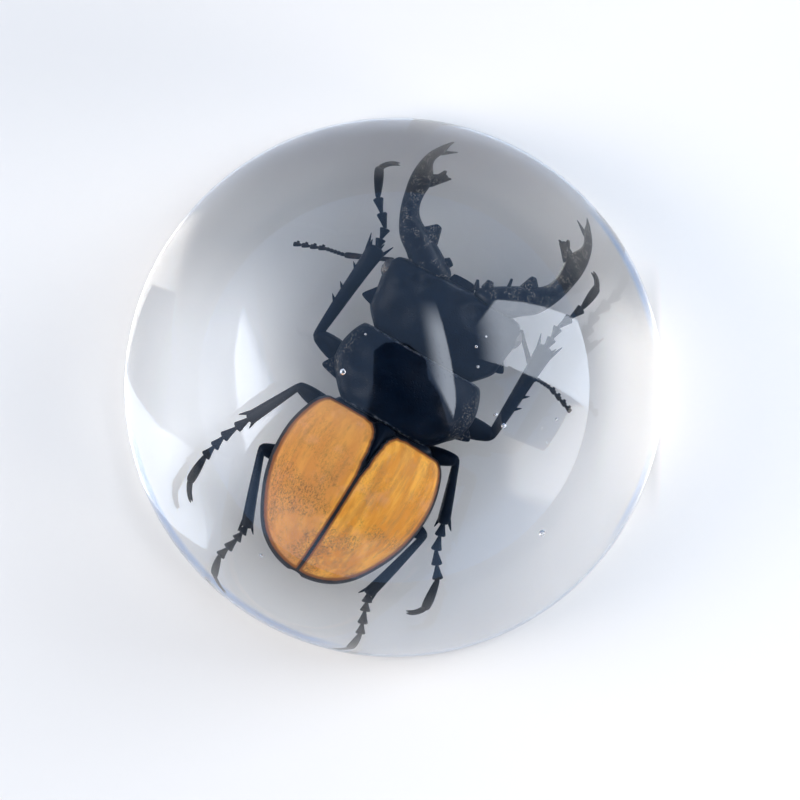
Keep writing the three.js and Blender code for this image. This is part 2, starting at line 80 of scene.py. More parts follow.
# ---- the trunk's sections ----
# (y, half width, top, height of the side edge, bottom), from the back to the front
HEAD_ROWS = (
    (4.3, 5.6, 13.6, 11.7, 9.6), (5.3, 6.9, 14.5, 11.7, 9.2), (6.6, 8.1, 15.1, 11.7, 8.85),
    (7.6, 8.8, 15.45, 11.8, 8.65), (8.8, 8.95, 15.75, 11.9, 8.45), (9.7, 8.9, 15.8, 11.9, 8.4),
    (10.6, 9.1, 15.75, 11.9, 8.4), (11.9, 9.3, 15.5, 11.9, 8.5), (13.1, 9.3, 15.1, 11.9, 8.8),
    (14.2, 8.8, 14.6, 11.9, 9.3), (14.9, 8.0, 13.9, 11.9, 9.9),
)
PRONOTUM_ROWS = (
    (-4.62, 5.2, 15.2, 12.0, 9.6), (-4.5, 5.7, 15.75, 12.0, 9.1), (-4.2, 6.1, 15.95, 12.0, 8.8),
    (-4.0, 6.3, 15.95, 12.0, 8.6), (-3.4, 7.0, 16.4, 12.0, 8.2), (-2.6, 7.6, 16.75, 12.0, 7.8),
    (-1.5, 8.9, 17.0, 12.0, 7.5), (0.0, 9.3, 17.15, 12.0, 7.3), (1.6, 9.35, 17.1, 12.0, 7.3),
    (3.0, 9.05, 16.85, 12.0, 7.4), (4.2, 8.6, 16.45, 12.0, 7.8), (4.85, 8.2, 16.1, 12.0, 8.2),
    (5.1, 8.0, 16.05, 12.0, 8.4), (5.25, 7.5, 15.6, 12.0, 8.8),
)
WING_ROWS = (
    (-27.2, 0.9, 10.8, 9.9), (-27.05, 1.9, 11.3, 9.9), (-26.7, 3.1, 12.1, 9.9),
    (-26.0, 4.5, 13.2, 10.0),
    (-24.8, 6.0, 14.5, 10.05), (-23.2, 7.2, 15.6, 10.1), (-21.0, 8.3, 16.6, 10.2),
    (-18.2, 9.45, 17.4, 10.3), (-15.4, 10.1, 17.9, 10.4), (-12.5, 10.3, 18.1, 10.5),
    (-9.8, 10.15, 18.0, 10.7), (-7.6, 9.5, 17.6, 10.9), (-6.3, 9.0, 17.1, 11.05),
    (-5.4, 8.4, 16.5, 11.15), (-4.9, 7.7, 16.0, 11.2),
)
BODY_SIDES = 24
SIDE_CREASE = 0.55
WING_THICKNESS = 0.55
SUTURE_HALF = 0.05
SCUTELLUM_EDGE = ((-10.2, 0.22), (-7.4, 0.5), (-6.2, 0.8), (-5.5, 1.25), (-4.9, 1.9))
BELLY_BOTTOM = 6.6
# where two belly plates meet
STERNITES = (-23.4, -20.9, -18.3, -15.6, -12.8)
# how much the belly is drawn in from the wing cases over it, and how little may be left
BELLY_NARROWER = 1.0
BELLY_LEAST_HALF = 0.5
BELLY_LOWER = 1.1
BELLY_LEAST_RISE = 0.3
BELLY_FRONT = (-3.4, 6.6, 14.7, 11.4, 7.0)
TAIL_RISE, TAIL_RISE_FROM, TAIL_RISE_RUN = 1.6, 19, 8
# a groove between two belly plates: how far along, how deep
GROOVE = ((-0.22, 0.0), (0.0, 0.16), (0.12, 0.0))
GROOVE_CLEARANCE = 0.02
SCUTELLUM_TOPS = (15.55, 16.15, 16.75, 17.25, 17.75)
SCUTELLUM_LAP = 0.12
SCUTELLUM_DEPTH = 2.0
SCUTELLUM_SIDES = 12
WING_SKIRT = 1.0
WING_INNER_CORNER = ((1.95, -5.15), (3.1, -4.9))
WING_EDGE_ROUND = 0.09
WING_EDGE_ANGLE = 50
WING_SMOOTH_ANGLE = 48

# soft dents and swellings, for the right side: where, which way and how far, how wide
HEAD_DENTS = (
    ((3.4, 13.2, 15.0), (0, 0, -0.9), 2.6), ((6.4, 14.2, 14.0), (0, 0.1, 0.55), 1.7),
    ((7.4, 12.3, 14.0), (0, 0, 0.5), 1.6), ((5.0, 8.6, 15.3), (0, 0, -0.35), 2.4),
    ((2.4, 6.2, 9.4), (0, 0, -0.25), 1.6),
)
LIP_DENT = ((0.0, 14.6, 14.3), (0, -0.3, -0.5), 2.2)
PRONOTUM_DENTS = (
    ((6.6, 1.2, 15.2), (0, 0, -0.5), 2.2), ((5.2, -2.2, 16.2), (0, 0, -0.3), 1.8),
    ((7.9, 3.4, 13.6), (0, 0, 0.3), 1.3), ((8.4, 0.4, 12.6), (-0.15, 0, -0.2), 1.4),
)
BELLY_DENTS = (((3.2, -9.5, 6.8), (0, 0, -0.45), 3.0),)

# ---- teeth of head and pronotum ----
# foot, tip, how wide the foot is, how high
HEAD_TOOTH = {
    "left": ((7.9, 8.7, 11.8), (10.2, 8.0, 11.8), 3.8, 1.6),
    "right": ((7.6, 8.9, 11.8), (9.7, 8.1, 11.8), 3.8, 1.6),
}
PRONOTUM_SPINE = {
    "left": ((7.0, -0.7, 12.0), (10.15, -1.9, 12.0), 5.0, 1.6),
    "right": ((7.2, -0.2, 12.0), (10.25, -1.1, 12.0), 4.6, 1.6),
}
LIP = ((0.0, 14.6, 10.7), (0.0, 15.7, 10.2), 4.2, 1.4)
LIP_BLUNT = 0.7
EYE = (8.8, 12.45, 11.5)
EYE_RADIUS = 1.1
EYE_SHAPE = (0.9, 1.15, 1)
FACET_GAP = 0.012
FACET_RISE = 0.02
# a point's outline: share of the way along, width against the foot's, and how much of the
# tip's bluntness is added to that
POINT = ((-0.3, 1.1, 0.0), (0.1, 0.9, 0.0), (0.5, 0.5, 0.4), (0.85, 0.2, 0.7), (1.0, 0.0, 1.0))

# ---- mandibles ----
# (outer edge x, y), (inner edge x, y), height; from the root to the tip, right side
MANDIBLE_STATIONS = (
    ((7.2, 14.2), (1.8, 14.2), 3.2), ((7.9, 15.3), (1.5, 15.7), 3.5),
    ((9.2, 16.1), (3.3, 16.9), 3.5), ((10.2, 17.1), (5.0, 18.0), 3.3),
    ((11.0, 18.5), (6.7, 19.1), 3.1), ((11.7, 20.0), (8.4, 19.8), 2.9),
    ((12.2, 21.4), (9.6, 21.1), 2.8), ((12.6, 22.9), (10.1, 22.8), 2.7),
    ((13.1, 24.8), (10.2, 24.5), 2.6), ((13.35, 26.6), (10.0, 26.1), 2.5),
    ((13.4, 28.1), (10.7, 27.5), 2.4), ((13.35, 29.6), (11.7, 29.0), 2.3),
    ((13.2, 31.0), (11.8, 30.6), 2.2), ((12.8, 32.3), (11.3, 31.9), 2.0),
    ((12.4, 33.4), (11.2, 33.1), 1.7), ((12.0, 34.5), (11.4, 34.3), 1.2),
    ((11.4, 36.0), (11.15, 35.95), 0.5),
)
MANDIBLE_SIDES = 12
MANDIBLE_ROOT_Z = 11.9
MANDIBLE_DROOP = 0.0042
MANDIBLE_ROOT_Y = 15.0
TOOTH_HEIGHT = 1.5
# (foot x, y), (tip x, y), how wide the foot is, how blunt the tip
TEETH_BOTH = (
    ((10.6, 26.2), (8.7, 28.0), 2.4, 0.5), ((9.6, 27.3), (8.2, 27.9), 1.1, 0.25),
    ((9.7, 27.2), (9.5, 28.9), 1.3, 0.3), ((11.5, 32.0), (9.7, 33.5), 1.1, 0.15),
)
TEETH = {
    "right": (((7.7, 19.1), (7.4, 21.0), 3.0, 0.2), ((5.2, 17.6), (5.0, 19.2), 0.65, 0.5),
              ((2.9, 16.4), (2.8, 17.5), 1.7, 0.5), ((1.7, 15.7), (1.3, 16.8), 0.9, 0.4)),
    "left": (((6.8, 18.6), (6.2, 20.7), 3.5, 0.2), ((3.6, 15.9), (2.6, 17.2), 2.0, 0.6)),
}

# ---- antennae ----
# how many beads and club leaves, and each part's outline: share of the way along, width, height
ANTENNAE = {
    "left": {"root": (-8.6, 13.3, 9.5), "elbow": (-13.8, 10.6, 6.7), "club": (-16.0, 10.2, 6.4),
             "tip": (-19.9, 8.8, 6.0)},
    "right": {"root": (8.9, 13.7, 9.5), "elbow": (12.6, 9.3, 6.7), "club": (15.0, 9.2, 6.4),
              "tip": (18.8, 8.0, 6.0)},
}
ANTENNA_BEADS = 5
CLUB_LEAVES = 4
FEELER_STEM = (
    (0, 0.8, 0.8), (0.08, 0.55, 0.55), (0.5, 0.6, 0.6), (0.85, 0.78, 0.78), (0.97, 0.8, 0.8),
    (1.0, 0.5, 0.5),
)
FEELER_BEAD_FLATNESS = 0.85
FEELER_BEAD = tuple(
    (share, width, width * FEELER_BEAD_FLATNESS)
    for share, width in ((0, 0.34), (0.4, 0.46), (0.85, 0.58), (0.97, 0.5), (1.0, 0.3))
)
FEELER_BEAD_LAP = 0.1
CLUB_LEAF = (
    (0, 0.32, 0.3), (0.4, 0.5, 0.42), (0.82, 0.66, 0.55), (0.97, 0.58, 0.5), (1.0, 0.32, 0.3),
)
CLUB_LEAF_LAP = 0.12
CLUB_LEAF_REACH = 0.98
# the lobe at a leaf's side: how far along, how long, wide, high and blunt
LOBE_AT, LOBE_LENGTH, LOBE_WIDTH, LOBE_HEIGHT, LOBE_BLUNT = 0.6, 0.5, 0.55, 0.42, 0.7

# ---- legs ----
# the joints' places, the width of thigh and shin, and how far down the shin its thorns are
LEGS = {
    "front_leg_left": {
        "hip": (-4.6, -0.4, 8.6), "knee": (-12.0, 0.9, 9.6), "ankle": (-11.1, 13.4, 9.2),
        "heel": (-11.5, 16.2, 8.7), "last": (-14.3, 19.2, 7.8), "toe": (-16.4, 23.1, 6.4),
        "claw": (-14.1, 24.5, 5.6), "femur": 2.9, "tibia": 1.75, "thorns": (0.36, 0.5, 0.73)},
    "front_leg_right": {
        "hip": (4.6, -0.4, 8.6), "knee": (12.1, 0.9, 9.6), "ankle": (12.75, 13.3, 9.2),
        "heel": (12.8, 16.4, 8.5), "last": (14.4, 20.2, 7.5), "toe": (15.1, 24.0, 6.4),
        "claw": (13.4, 25.2, 5.8), "femur": 2.9, "tibia": 1.75, "thorns": (0.33, 0.47, 0.67)},
    "middle_leg_left": {
        "hip": (-4.2, -6.2, 8.0), "knee": (-10.9, -5.6, 10.4), "ankle": (-13.6, -11.4, 4.9),
        "heel": (-15.3, -15.0, 4.0), "last": (-16.2, -18.2, 3.6), "toe": (-16.7, -22.3, 3.2),
        "claw": (-15.3, -24.5, 2.9), "femur": 2.3, "tibia": 1.4, "thorns": ()},
    "middle_leg_right": {
        "hip": (4.2, -5.4, 8.0), "knee": (10.0, -3.9, 10.4), "ankle": (11.8, -10.6, 4.9),
        "heel": (12.7, -13.9, 4.0), "last": (14.8, -17.0, 3.6), "toe": (15.7, -21.4, 3.2),
        "claw": (13.8, -22.7, 2.9), "femur": 2.3, "tibia": 1.4, "thorns": ()},
    "hind_leg_left": {
        "hip": (-4.4, -12.6, 6.9), "knee": (-11.0, -14.2, 7.9), "ankle": (-7.9, -23.2, 4.7),
        "heel": (-8.3, -25.6, 4.1), "last": (-9.4, -29.5, 3.7), "toe": (-9.4, -34.6, 3.3),
        "claw": (-7.0, -37.6, 2.9), "femur": 2.4, "tibia": 1.4, "thorns": ()},
    "hind_leg_right": {
        "hip": (4.4, -12.4, 6.9), "knee": (11.1, -13.7, 7.9), "ankle": (8.8, -23.0, 4.7),
        "heel": (9.7, -25.6, 4.1), "last": (11.2, -29.8, 3.7), "toe": (12.2, -35.6, 3.3),
        "claw": (10.2, -39.3, 2.9), "femur": 2.4, "tibia": 1.4, "thorns": ()},
}
# each spur at the end of a shin: how far to its outer side, how high, how long
FRONT_SPURS = ((1.15, 0.0, 2.1), (0.8, 1.0, 1.5), (-1.0, 0.0, 2.0), (-0.3, -1.0, 1.7))
OTHER_SPURS = ((0.8, 0.0, 1.5), (-0.7, 0.0, 1.4))
LIMB_SIDES = 10
THICK_LIMB_SIDES = 12
THIN_LIMB_SIDES = 8
THORN_SIDES = 6
# outlines of a limb: share of the way along, width and height
THIGH = (
    (-0.05, 0.5, 0.45), (0.1, 0.75, 0.62), (0.4, 1.0, 0.8), (0.7, 0.95, 0.75),
    (0.9, 0.72, 0.62), (1.0, 0.55, 0.5), (1.04, 0.3, 0.3),
)
FRONT_SHIN = (
    (-0.05, 0.5, 0.5), (0.02, 0.68, 0.62), (0.12, 0.74, 0.64), (0.35, 0.92, 0.74),
    (0.6, 1.04, 0.8), (0.8, 1.16, 0.85), (0.93, 1.36, 0.92), (1.0, 1.4, 0.9), (1.03, 0.7, 0.6),
)
OTHER_SHIN = (
    (-0.05, 0.5, 0.5), (0.03, 0.68, 0.65), (0.2, 0.72, 0.68), (0.5, 0.9, 0.8),
    (0.8, 1.02, 0.88), (0.94, 1.12, 0.95), (1.0, 1.1, 0.92), (1.03, 0.6, 0.55),
)
FOOT_BEADS = 2
FOOT_BEAD = (
    (-0.06, 0.36, 0.34), (0.1, 0.5, 0.45), (0.45, 0.8, 0.62), (0.82, 1.25, 0.85),
    (0.97, 1.42, 0.85), (1.04, 0.45, 0.4),
)
LAST_JOINT = (
    (-0.04, 0.5, 0.45), (0.12, 0.8, 0.62), (0.5, 1.22, 0.9), (0.85, 1.28, 0.95),
    (0.97, 1.05, 0.85), (1.02, 0.55, 0.5),
)
# a thorn's root lies at this share of the shin's width, and farther out down the shin
THORN_ROOT, THORN_ROOT_GROWTH = 0.3, 0.18
THORN_OUT, THORN_ALONG, THORN_WIDTH, THORN_BLUNT = 0.75, 0.6, 0.5, 0.1
SPURS_AT = 0.95
SPUR_ROOT, SPUR_LIFT, SPUR_OUT, SPUR_WIDTH, SPUR_BLUNT = 0.48, 0.3, 0.7, 0.6, 0.15
CLAW_RINGS = 6
CLAW_ROOT_AT = 0.93
CLAW_SPREAD = 0.55
CLAW_ARCH_AT, CLAW_ARCH = 0.4, 0.75
CLAW_WIDTH, CLAW_TIP, CLAW_TAPER = 0.82, 0.12, 0.6


# ======== modelling by hand ========
def begin(name):
    """Opens an empty piece in edit mode, with nothing else selected."""
    bpy.ops.object.select_all(action="DESELECT")
    bpy.ops.object.add(type="MESH", enter_editmode=True)
    piece = bpy.context.object
    piece.name = name
    piece.data.name = name
    return piece


def add_more(add, **place):
    """Adds a primitive to the mesh being edited, alone selected."""
    bpy.ops.mesh.select_mode(type="FACE")
    bpy.ops.mesh.select_all(action="DESELECT")
    add(**place)


def pick(piece, kind, wanted):
    """Selects in edit mode the verts, edges or faces that `wanted` says."""
    bpy.ops.mesh.select_mode(type={"verts": "VERT", "edges": "EDGE", "faces": "FACE"}[kind])
    mesh = bmesh.from_edit_mesh(piece.data)
    mesh.normal_update()
    for element in (*mesh.verts, *mesh.edges, *mesh.faces):
        element.select = False
    for element in filter(wanted, getattr(mesh, kind)):
        element.select_set(True)
    mesh.select_flush_mode()
    bmesh.update_edit_mesh(piece.data)


def turn(angle, axis, centre):
    """Turns the selection right-handed about an axis through `centre`."""
    facing = Vector(axis).to_track_quat("Z", "Y").to_matrix()
    bpy.ops.transform.rotate(
        value=angle, orient_axis="Z", orient_type="GLOBAL", orient_matrix=facing,
        orient_matrix_type="GLOBAL", constraint_axis=(False, False, True), center_override=centre,
    )


def grow(factors, centre, axes=None):
    """Scales the selection about `centre`, along the columns of `axes`."""
    settings = {"value": factors, "center_override": centre}
    if axes is not None:
        settings.update(orient_type="GLOBAL", orient_matrix=axes, orient_matrix_type="GLOBAL")
    bpy.ops.transform.resize(**settings)


def extrude(by):
    """Draws the selected face out."""
    bpy.ops.mesh.extrude_region_move(TRANSFORM_OT_translate={"value": by})


def smooth_out(piece, levels):
    """Subdivides the piece for good."""
    bpy.ops.object.mode_set(mode="OBJECT")
    smoothing = piece.modifiers.new("smooth", "SUBSURF")
    smoothing.levels = levels
    smoothing.render_levels = levels
    bpy.ops.object.modifier_apply(modifier=smoothing.name)


def press(piece, place, by, reach):
    """Pushes the surface near `place` with a soft fall-off, as with a thumb."""
    bpy.ops.object.mode_set(mode="EDIT")
    bpy.ops.mesh.select_mode(type="VERT")
    mesh = bmesh.from_edit_mesh(piece.data)
    target = Vector(place) * MM
    nearest = min(mesh.verts, key=lambda vertex: (vertex.co - target).length_squared)
    for element in (*mesh.verts, *mesh.edges, *mesh.faces):
        element.select = False
    nearest.select = True
    bmesh.update_edit_mesh(piece.data)
    bpy.ops.transform.translate(
        value=Vector(by) * MM, use_proportional_edit=True, proportional_edit_falloff="SMOOTH",
        proportional_size=reach * MM,
    )
    bpy.ops.object.mode_set(mode="OBJECT")


def fullness(sides):
    """How much a ring of so many sides is drawn larger, because smoothing draws it in."""
    return 3 / (2 + math.cos(2 * math.pi / sides))


def frame_of(run):
    """Columns across, over and back along a run, for a ring that stands square to it."""
    across = run.cross(UP).normalized()
    over = across.cross(run).normalized()
    return Matrix((across, over, -run)).transposed()


def runs_of(places):
    """The direction at each place of a path."""
    last = len(places) - 1
    runs = []
    for i, place in enumerate(places):
        ahead = (places[min(i + 1, last)] - place).normalized()
        behind = (place - places[max(i - 1, 0)]).normalized()
        runs.append((ahead + behind).normalized())
    return runs


def draw_limb(rings, sides=LIMB_SIDES, axes=None):
    """Draws an oval section out along a path: rings are (place, width, height) in mm.

    The first ring is a new disc in the mesh being edited.
    """
    places = [Vector(place) * MM for place, _, _ in rings]
    frames = axes or [frame_of(run) for run in runs_of(places)]
    full = fullness(sides)
    _, width, height = rings[0]
    add_more(
        bpy.ops.mesh.primitive_circle_add, vertices=sides, radius=0.5 * MM * full,
        fill_type="NGON", location=places[0], rotation=frames[0].to_euler(),
    )
    grow((width, height, 1), places[0], frames[0])
    for i in range(1, len(rings)):
        extrude(places[i] - places[i - 1])
        swing = (frames[i] @ frames[i - 1].transposed()).to_quaternion()
        axis, angle = swing.to_axis_angle()
        if angle > LEAST_TURN:
            turn(angle, axis, places[i])
        _, new_width, new_height = rings[i]
        grow((new_width / width, new_height / height, 1), places[i], frames[i])
        width, height = new_width, new_height


def in_place(points):
    """Points given from the beetle's middle line, put where the beetle lies in the dome."""
    return tuple((x + BEETLE_X, y, z) for x, y, z in points)


def mirrored(point, side):
    """A point given for the right side, on the side that is meant, where the beetle lies."""
    return (side * point[0] + BEETLE_X, *point[1:])


def part_way(start, end, share):
    """The point at a share of the way from start to end."""
    return tuple(a + (b - a) * share for a, b in zip(start, end))


def links(start, end, count, lap=0, reach=1):
    """Both ends of each link in a row; each starts `lap` of a link early, and ends at `reach`."""
    for link in range(count):
        yield (
            part_way(start, end, (link - lap) / count),
            part_way(start, end, (link + reach) / count),
        )


def draw_along(start, end, outline, size=1.0, sides=LIMB_SIDES):
    """Draws a straight limb from start to end by its outline."""
    draw_limb([
        (part_way(start, end, share), size * width, size * height)
        for share, width, height in outline
    ], sides)


def grow_point(foot, tip, width, height=None, blunt=0.05, sides=THIN_LIMB_SIDES):
    """A tooth, thorn or spur: a limb that tapers from inside the surface out to its tip."""
    outline = [
        (share, width * (wide + more * blunt), (height or width) * (wide + more * blunt))
        for share, wide, more in POINT
    ]
    draw_along(foot, tip, outline, sides=sides)


def press_both_sides(piece, dents):
    """Presses dents given for the right side into the left and the right."""
    for side, _ in SIDES:
        for place, (across, *rest), reach in dents:
            press(piece, mirrored(place, side), (side * across, *rest), reach)


def finish_piece(piece, material, slot, *nodes, smooth_angle=None):
    """Faces outwards, smooth shading, material, and the body and nodes it stands for."""
    bpy.ops.object.mode_set(mode="EDIT")
    bpy.ops.mesh.select_mode(type="VERT")
    bpy.ops.mesh.select_all(action="SELECT")
    bpy.ops.mesh.normals_make_consistent(inside=False)
    bpy.ops.object.mode_set(mode="OBJECT")
    bpy.ops.object.transform_apply(location=True, rotation=True, scale=True)
    if smooth_angle is None:
        bpy.ops.object.shade_smooth()
    else:
        bpy.ops.object.shade_smooth_by_angle(angle=math.radians(smooth_angle))
    piece.data.materials.clear()
    piece.data.materials.append(material)
    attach(piece, "root")
    if nodes:
        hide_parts(*nodes)
    return piece


def lean(hind=False):
    """Leans the piece in hand as the beetle lies; a hind one also turns a little at the tail."""
    bpy.ops.object.mode_set(mode="EDIT")
    bpy.ops.mesh.select_all(action="SELECT")
    if hind:
        turn(HIND_TURN, UP, Vector((BEETLE_X, TAIL_Y, 0)) * MM)
    turn(LEAN, (0, 1, 0), Vector((BEETLE_X, 0, LEAN_HEIGHT)) * MM)
    bpy.ops.object.mode_set(mode="OBJECT")


# ======== the trunk ========
def draw_body(rows, sides=BODY_SIDES):
    """Draws the trunk's oval section from its back row to its front row.

    Above and below the side edge the section has its own depth.
    """
    full = fullness(sides)
    y, half_width, top, edge, bottom = rows[0]
    add_more(
        bpy.ops.mesh.primitive_circle_add, vertices=sides, radius=MM * full, fill_type="NGON",
        location=Vector((BEETLE_X, y, edge)) * MM, rotation=(math.radians(90), 0, 0),
    )
    grow((half_width, 1, 1), Vector((BEETLE_X, y, edge)) * MM)
    piece = bpy.context.object
    high, low = top - edge, edge - bottom
    shape_depth(piece, y, edge, high, low)
    for new_y, new_half, new_top, new_edge, new_bottom in rows[1:]:
        pick(piece, "faces", lambda face: len(face.verts) == sides and is_at(face, y))
        extrude(Vector((0, new_y - y, new_edge - edge)) * MM)
        grow((new_half / half_width, 1, 1), Vector((BEETLE_X, new_y, new_edge)) * MM)
        shape_depth(piece, new_y, new_edge, (new_top - new_edge) / high,
                    (new_edge - new_bottom) / low)
        y, half_width, edge = new_y, new_half, new_edge
        high, low = new_top - new_edge, new_edge - new_bottom


def is_at(face, y):
    """Whether a face lies at y, given in mm."""
    return abs(face.calc_center_median().y - y * MM) < SAME_PLACE


def shape_depth(piece, y, edge, rise, fall):
    """Deepens the newest ring above its side edge and below it."""
    centre = Vector((BEETLE_X, y, edge)) * MM
    for factor, sign in ((rise, 1), (fall, -1)):
        pick(piece, "verts", lambda vertex: (
            abs(vertex.co.y - centre.y) < SAME_PLACE
            and (vertex.co.z - centre.z) * sign > HARDLY_OFF
        ))
        grow((1, 1, factor), centre)


def crease_sides(piece, rows, crease):
    """Keeps the side edge of a trunk piece crisp when it is smoothed."""
    lowest = min(row[3] for row in rows) * MM - EDGE_ROOM
    highest = max(row[3] for row in rows) * MM + EDGE_ROOM
    pick(piece, "edges", lambda edge: all(
        lowest < vertex.co.z < highest and abs(vertex.co.x - BEETLE_X * MM) > MM
        for vertex in edge.verts
    ) and abs(edge.verts[0].co.y - edge.verts[1].co.y) > SAME_PLACE)
    bpy.ops.transform.edge_crease(value=crease)


def make_head():
    """The head capsule: its cheek teeth and lip, then the dents of its brow."""
    piece = begin("head_capsule")
    draw_body(HEAD_ROWS)
    crease_sides(piece, HEAD_ROWS, SIDE_CREASE)
    for side, word in SIDES:
        foot, tip, width, height = HEAD_TOOTH[word]
        grow_point(mirrored(foot, side), mirrored(tip, side), width, height)
    foot, tip, width, height = LIP
    grow_point(mirrored(foot, 1), mirrored(tip, 1), width, height, LIP_BLUNT)
    smooth_out(piece, 2)
    press_both_sides(piece, HEAD_DENTS)
    place, by, reach = LIP_DENT
    press(piece, mirrored(place, 1), by, reach)
    lean()
    return finish_piece(piece, black_cuticle, "black_cuticle", "head")


def make_eye(side, word):
    """A faceted eye set in the side of the head."""
    piece = begin(f"eye_{word}")
    centre = Vector(mirrored(EYE, side)) * MM
    add_more(
        bpy.ops.mesh.primitive_ico_sphere_add, subdivisions=BALL_FINENESS,
        radius=EYE_RADIUS * MM, location=centre,
    )
    grow(EYE_SHAPE, centre)
    bpy.ops.mesh.inset(thickness=FACET_GAP * MM, use_individual=True)
    bpy.ops.transform.shrink_fatten(value=FACET_RISE * MM)
    bpy.ops.object.mode_set(mode="OBJECT")
    lean()
    return finish_piece(piece, eye_amber, "black_cuticle")


def make_pronotum():
    """The front shield, with a spine at each side and soft dents."""
    piece = begin("pronotum_shield")
    draw_body(PRONOTUM_ROWS)
    crease_sides(piece, PRONOTUM_ROWS, SIDE_CREASE)
    for side, word in SIDES:
        foot, tip, width, height = PRONOTUM_SPINE[word]
        grow_point(mirrored(foot, side), mirrored(tip, side), width, height)
    smooth_out(piece, 2)
    press_both_sides(piece, PRONOTUM_DENTS)
    lean()
    return finish_piece(piece, shield_black, "black_cuticle", "pronotum")


# ======== wing cases ========
def make_wing_case(side, word):
    """Half of a domed shell over the hind body, its inner front corner rounded off."""
    piece = begin(f"wing_shell_{word}")
    draw_body([(y, half, top, edge, edge - WING_SKIRT) for y, half, top, edge in WING_ROWS])
    pick(piece, "faces", lambda face: (
        len(face.verts) == BODY_SIDES or face.calc_center_median().z < edge_height(face)
    ))
    bpy.ops.mesh.delete(type="FACE")
    smooth_out(piece, 3)
    bpy.ops.object.mode_set(mode="EDIT")
    for (y0, half0), (y1, half1) in zip(SCUTELLUM_EDGE, SCUTELLUM_EDGE[1:]):
        cut_along(side, (half0 + SUTURE_HALF, y0), (half1 + SUTURE_HALF, y1))
    cut_along(side, (SUTURE_HALF, TAIL_Y), (SUTURE_HALF, 0))
    cut_along(side, *WING_INNER_CORNER)
    bpy.ops.object.mode_set(mode="OBJECT")
    note_margin(piece)
    face_outwards(piece)
    wall = piece.modifiers.new("wall", "SOLIDIFY")
    wall.thickness = WING_THICKNESS * MM
    wall.offset = -1
    bpy.ops.object.modifier_apply(modifier=wall.name)
    soften = piece.modifiers.new("soften", "BEVEL")
    soften.width = WING_EDGE_ROUND * MM
    soften.segments = 2
    soften.limit_method = "ANGLE"
    soften.angle_limit = math.radians(WING_EDGE_ANGLE)
    bpy.ops.object.modifier_apply(modifier=soften.name)
    lean(hind=True)
    return finish_piece(
        piece, golden_wing, "golden_wing_case", f"wing_case_{word}",
        smooth_angle=WING_SMOOTH_ANGLE,
    )


def edge_height(face):
    """The height of the wing case's side edge where a face lies."""
    y = face.calc_center_median().y / MM
    for (y0, _, _, edge0), (y1, _, _, edge1) in zip(WING_ROWS, WING_ROWS[1:]):
        if y0 <= y <= y1:
            return (edge0 + (edge1 - edge0) * (y - y0) / (y1 - y0)) * MM
    return WING_ROWS[0][3] * MM


def cut_along(side, start, end):
    """Cuts upright through the line from start to end, keeping what lies on the wing's side."""
    bpy.ops.mesh.select_mode(type="FACE")
    bpy.ops.mesh.select_all(action="SELECT")
    run = Vector((side * (end[0] - start[0]), end[1] - start[1], 0)).normalized()
    away = Vector((-run.y, run.x, 0)) * side
    bpy.ops.mesh.bisect(
        plane_co=Vector((side * start[0] + BEETLE_X, start[1], 0)) * MM, plane_no=away,
        clear_outer=True,
    )


def face_outwards(piece):
    """Turns an open shell's faces outwards, which is upwards on the whole."""
    bpy.ops.object.mode_set(mode="EDIT")
    bpy.ops.mesh.select_all(action="SELECT")
    bpy.ops.mesh.normals_make_consistent(inside=False)
    mesh = bmesh.from_edit_mesh(piece.data)
    mesh.normal_update()
    if sum(face.normal.z * face.calc_area() for face in mesh.faces) < 0:
        bpy.ops.mesh.flip_normals()
    bpy.ops.object.mode_set(mode="OBJECT")


def note_margin(piece):
    """Notes on each point how far it lies from the shell's edge as seen from above, in mm."""
    mesh = bmesh.new()
    mesh.from_mesh(piece.data)
    rim = [edge for edge in mesh.edges if edge.is_boundary]
    layer = mesh.verts.layers.float.new("margin")
    for vertex in mesh.verts:
        nearest = min(gap_to(edge, vertex.co) for edge in rim)
        vertex[layer] = nearest / MM
    mesh.to_mesh(piece.data)
    mesh.free()


def gap_to(edge, point):
    """How far a point lies from an edge, seen from above."""
    start, end = (vertex.co.xy for vertex in edge.verts)
    along = end - start
    squared = max(along.length_squared, NO_LENGTH_SQUARED)
    share = max(0.0, min(1.0, (point.xy - start).dot(along) / squared))
    return (point.xy - start - along * share).length


# ======== hind body ========
def belly_rows():
    """The hind body's rows: the wing cases' own, drawn in, with a groove at each plate's end."""
    rows = []
    front, tail = WING_ROWS[-1][0], WING_ROWS[0][0]
    for y, half, top, edge in WING_ROWS[1:]:
        rise = TAIL_RISE * max(0, (-y - TAIL_RISE_FROM) / TAIL_RISE_RUN) ** 2
        rows.append((
            y + BELLY_NARROWER * (front - y) / (front - tail),
            max(half - BELLY_NARROWER, BELLY_LEAST_HALF),
            max(top - BELLY_LOWER, edge + BELLY_LEAST_RISE), edge, BELLY_BOTTOM + rise,
        ))
    rows.append(BELLY_FRONT)
    grooved = []
    for start, end in zip(rows, rows[1:]):
        grooved.append(start)
        for groove in STERNITES:
            if start[0] < groove < end[0]:
                grooved.extend(groove_rows(start, end, groove))
    grooved.append(rows[-1])
    return grooved


def groove_rows(start, end, groove):
    """The rows of one groove between two others."""
    for offset, depth in GROOVE:
        share = (groove + offset - start[0]) / (end[0] - start[0])
        if GROOVE_CLEARANCE < share < 1 - GROOVE_CLEARANCE:
            y, half, top, edge, bottom = part_way(start, end, share)
            yield y, half - depth, top, edge, bottom + depth


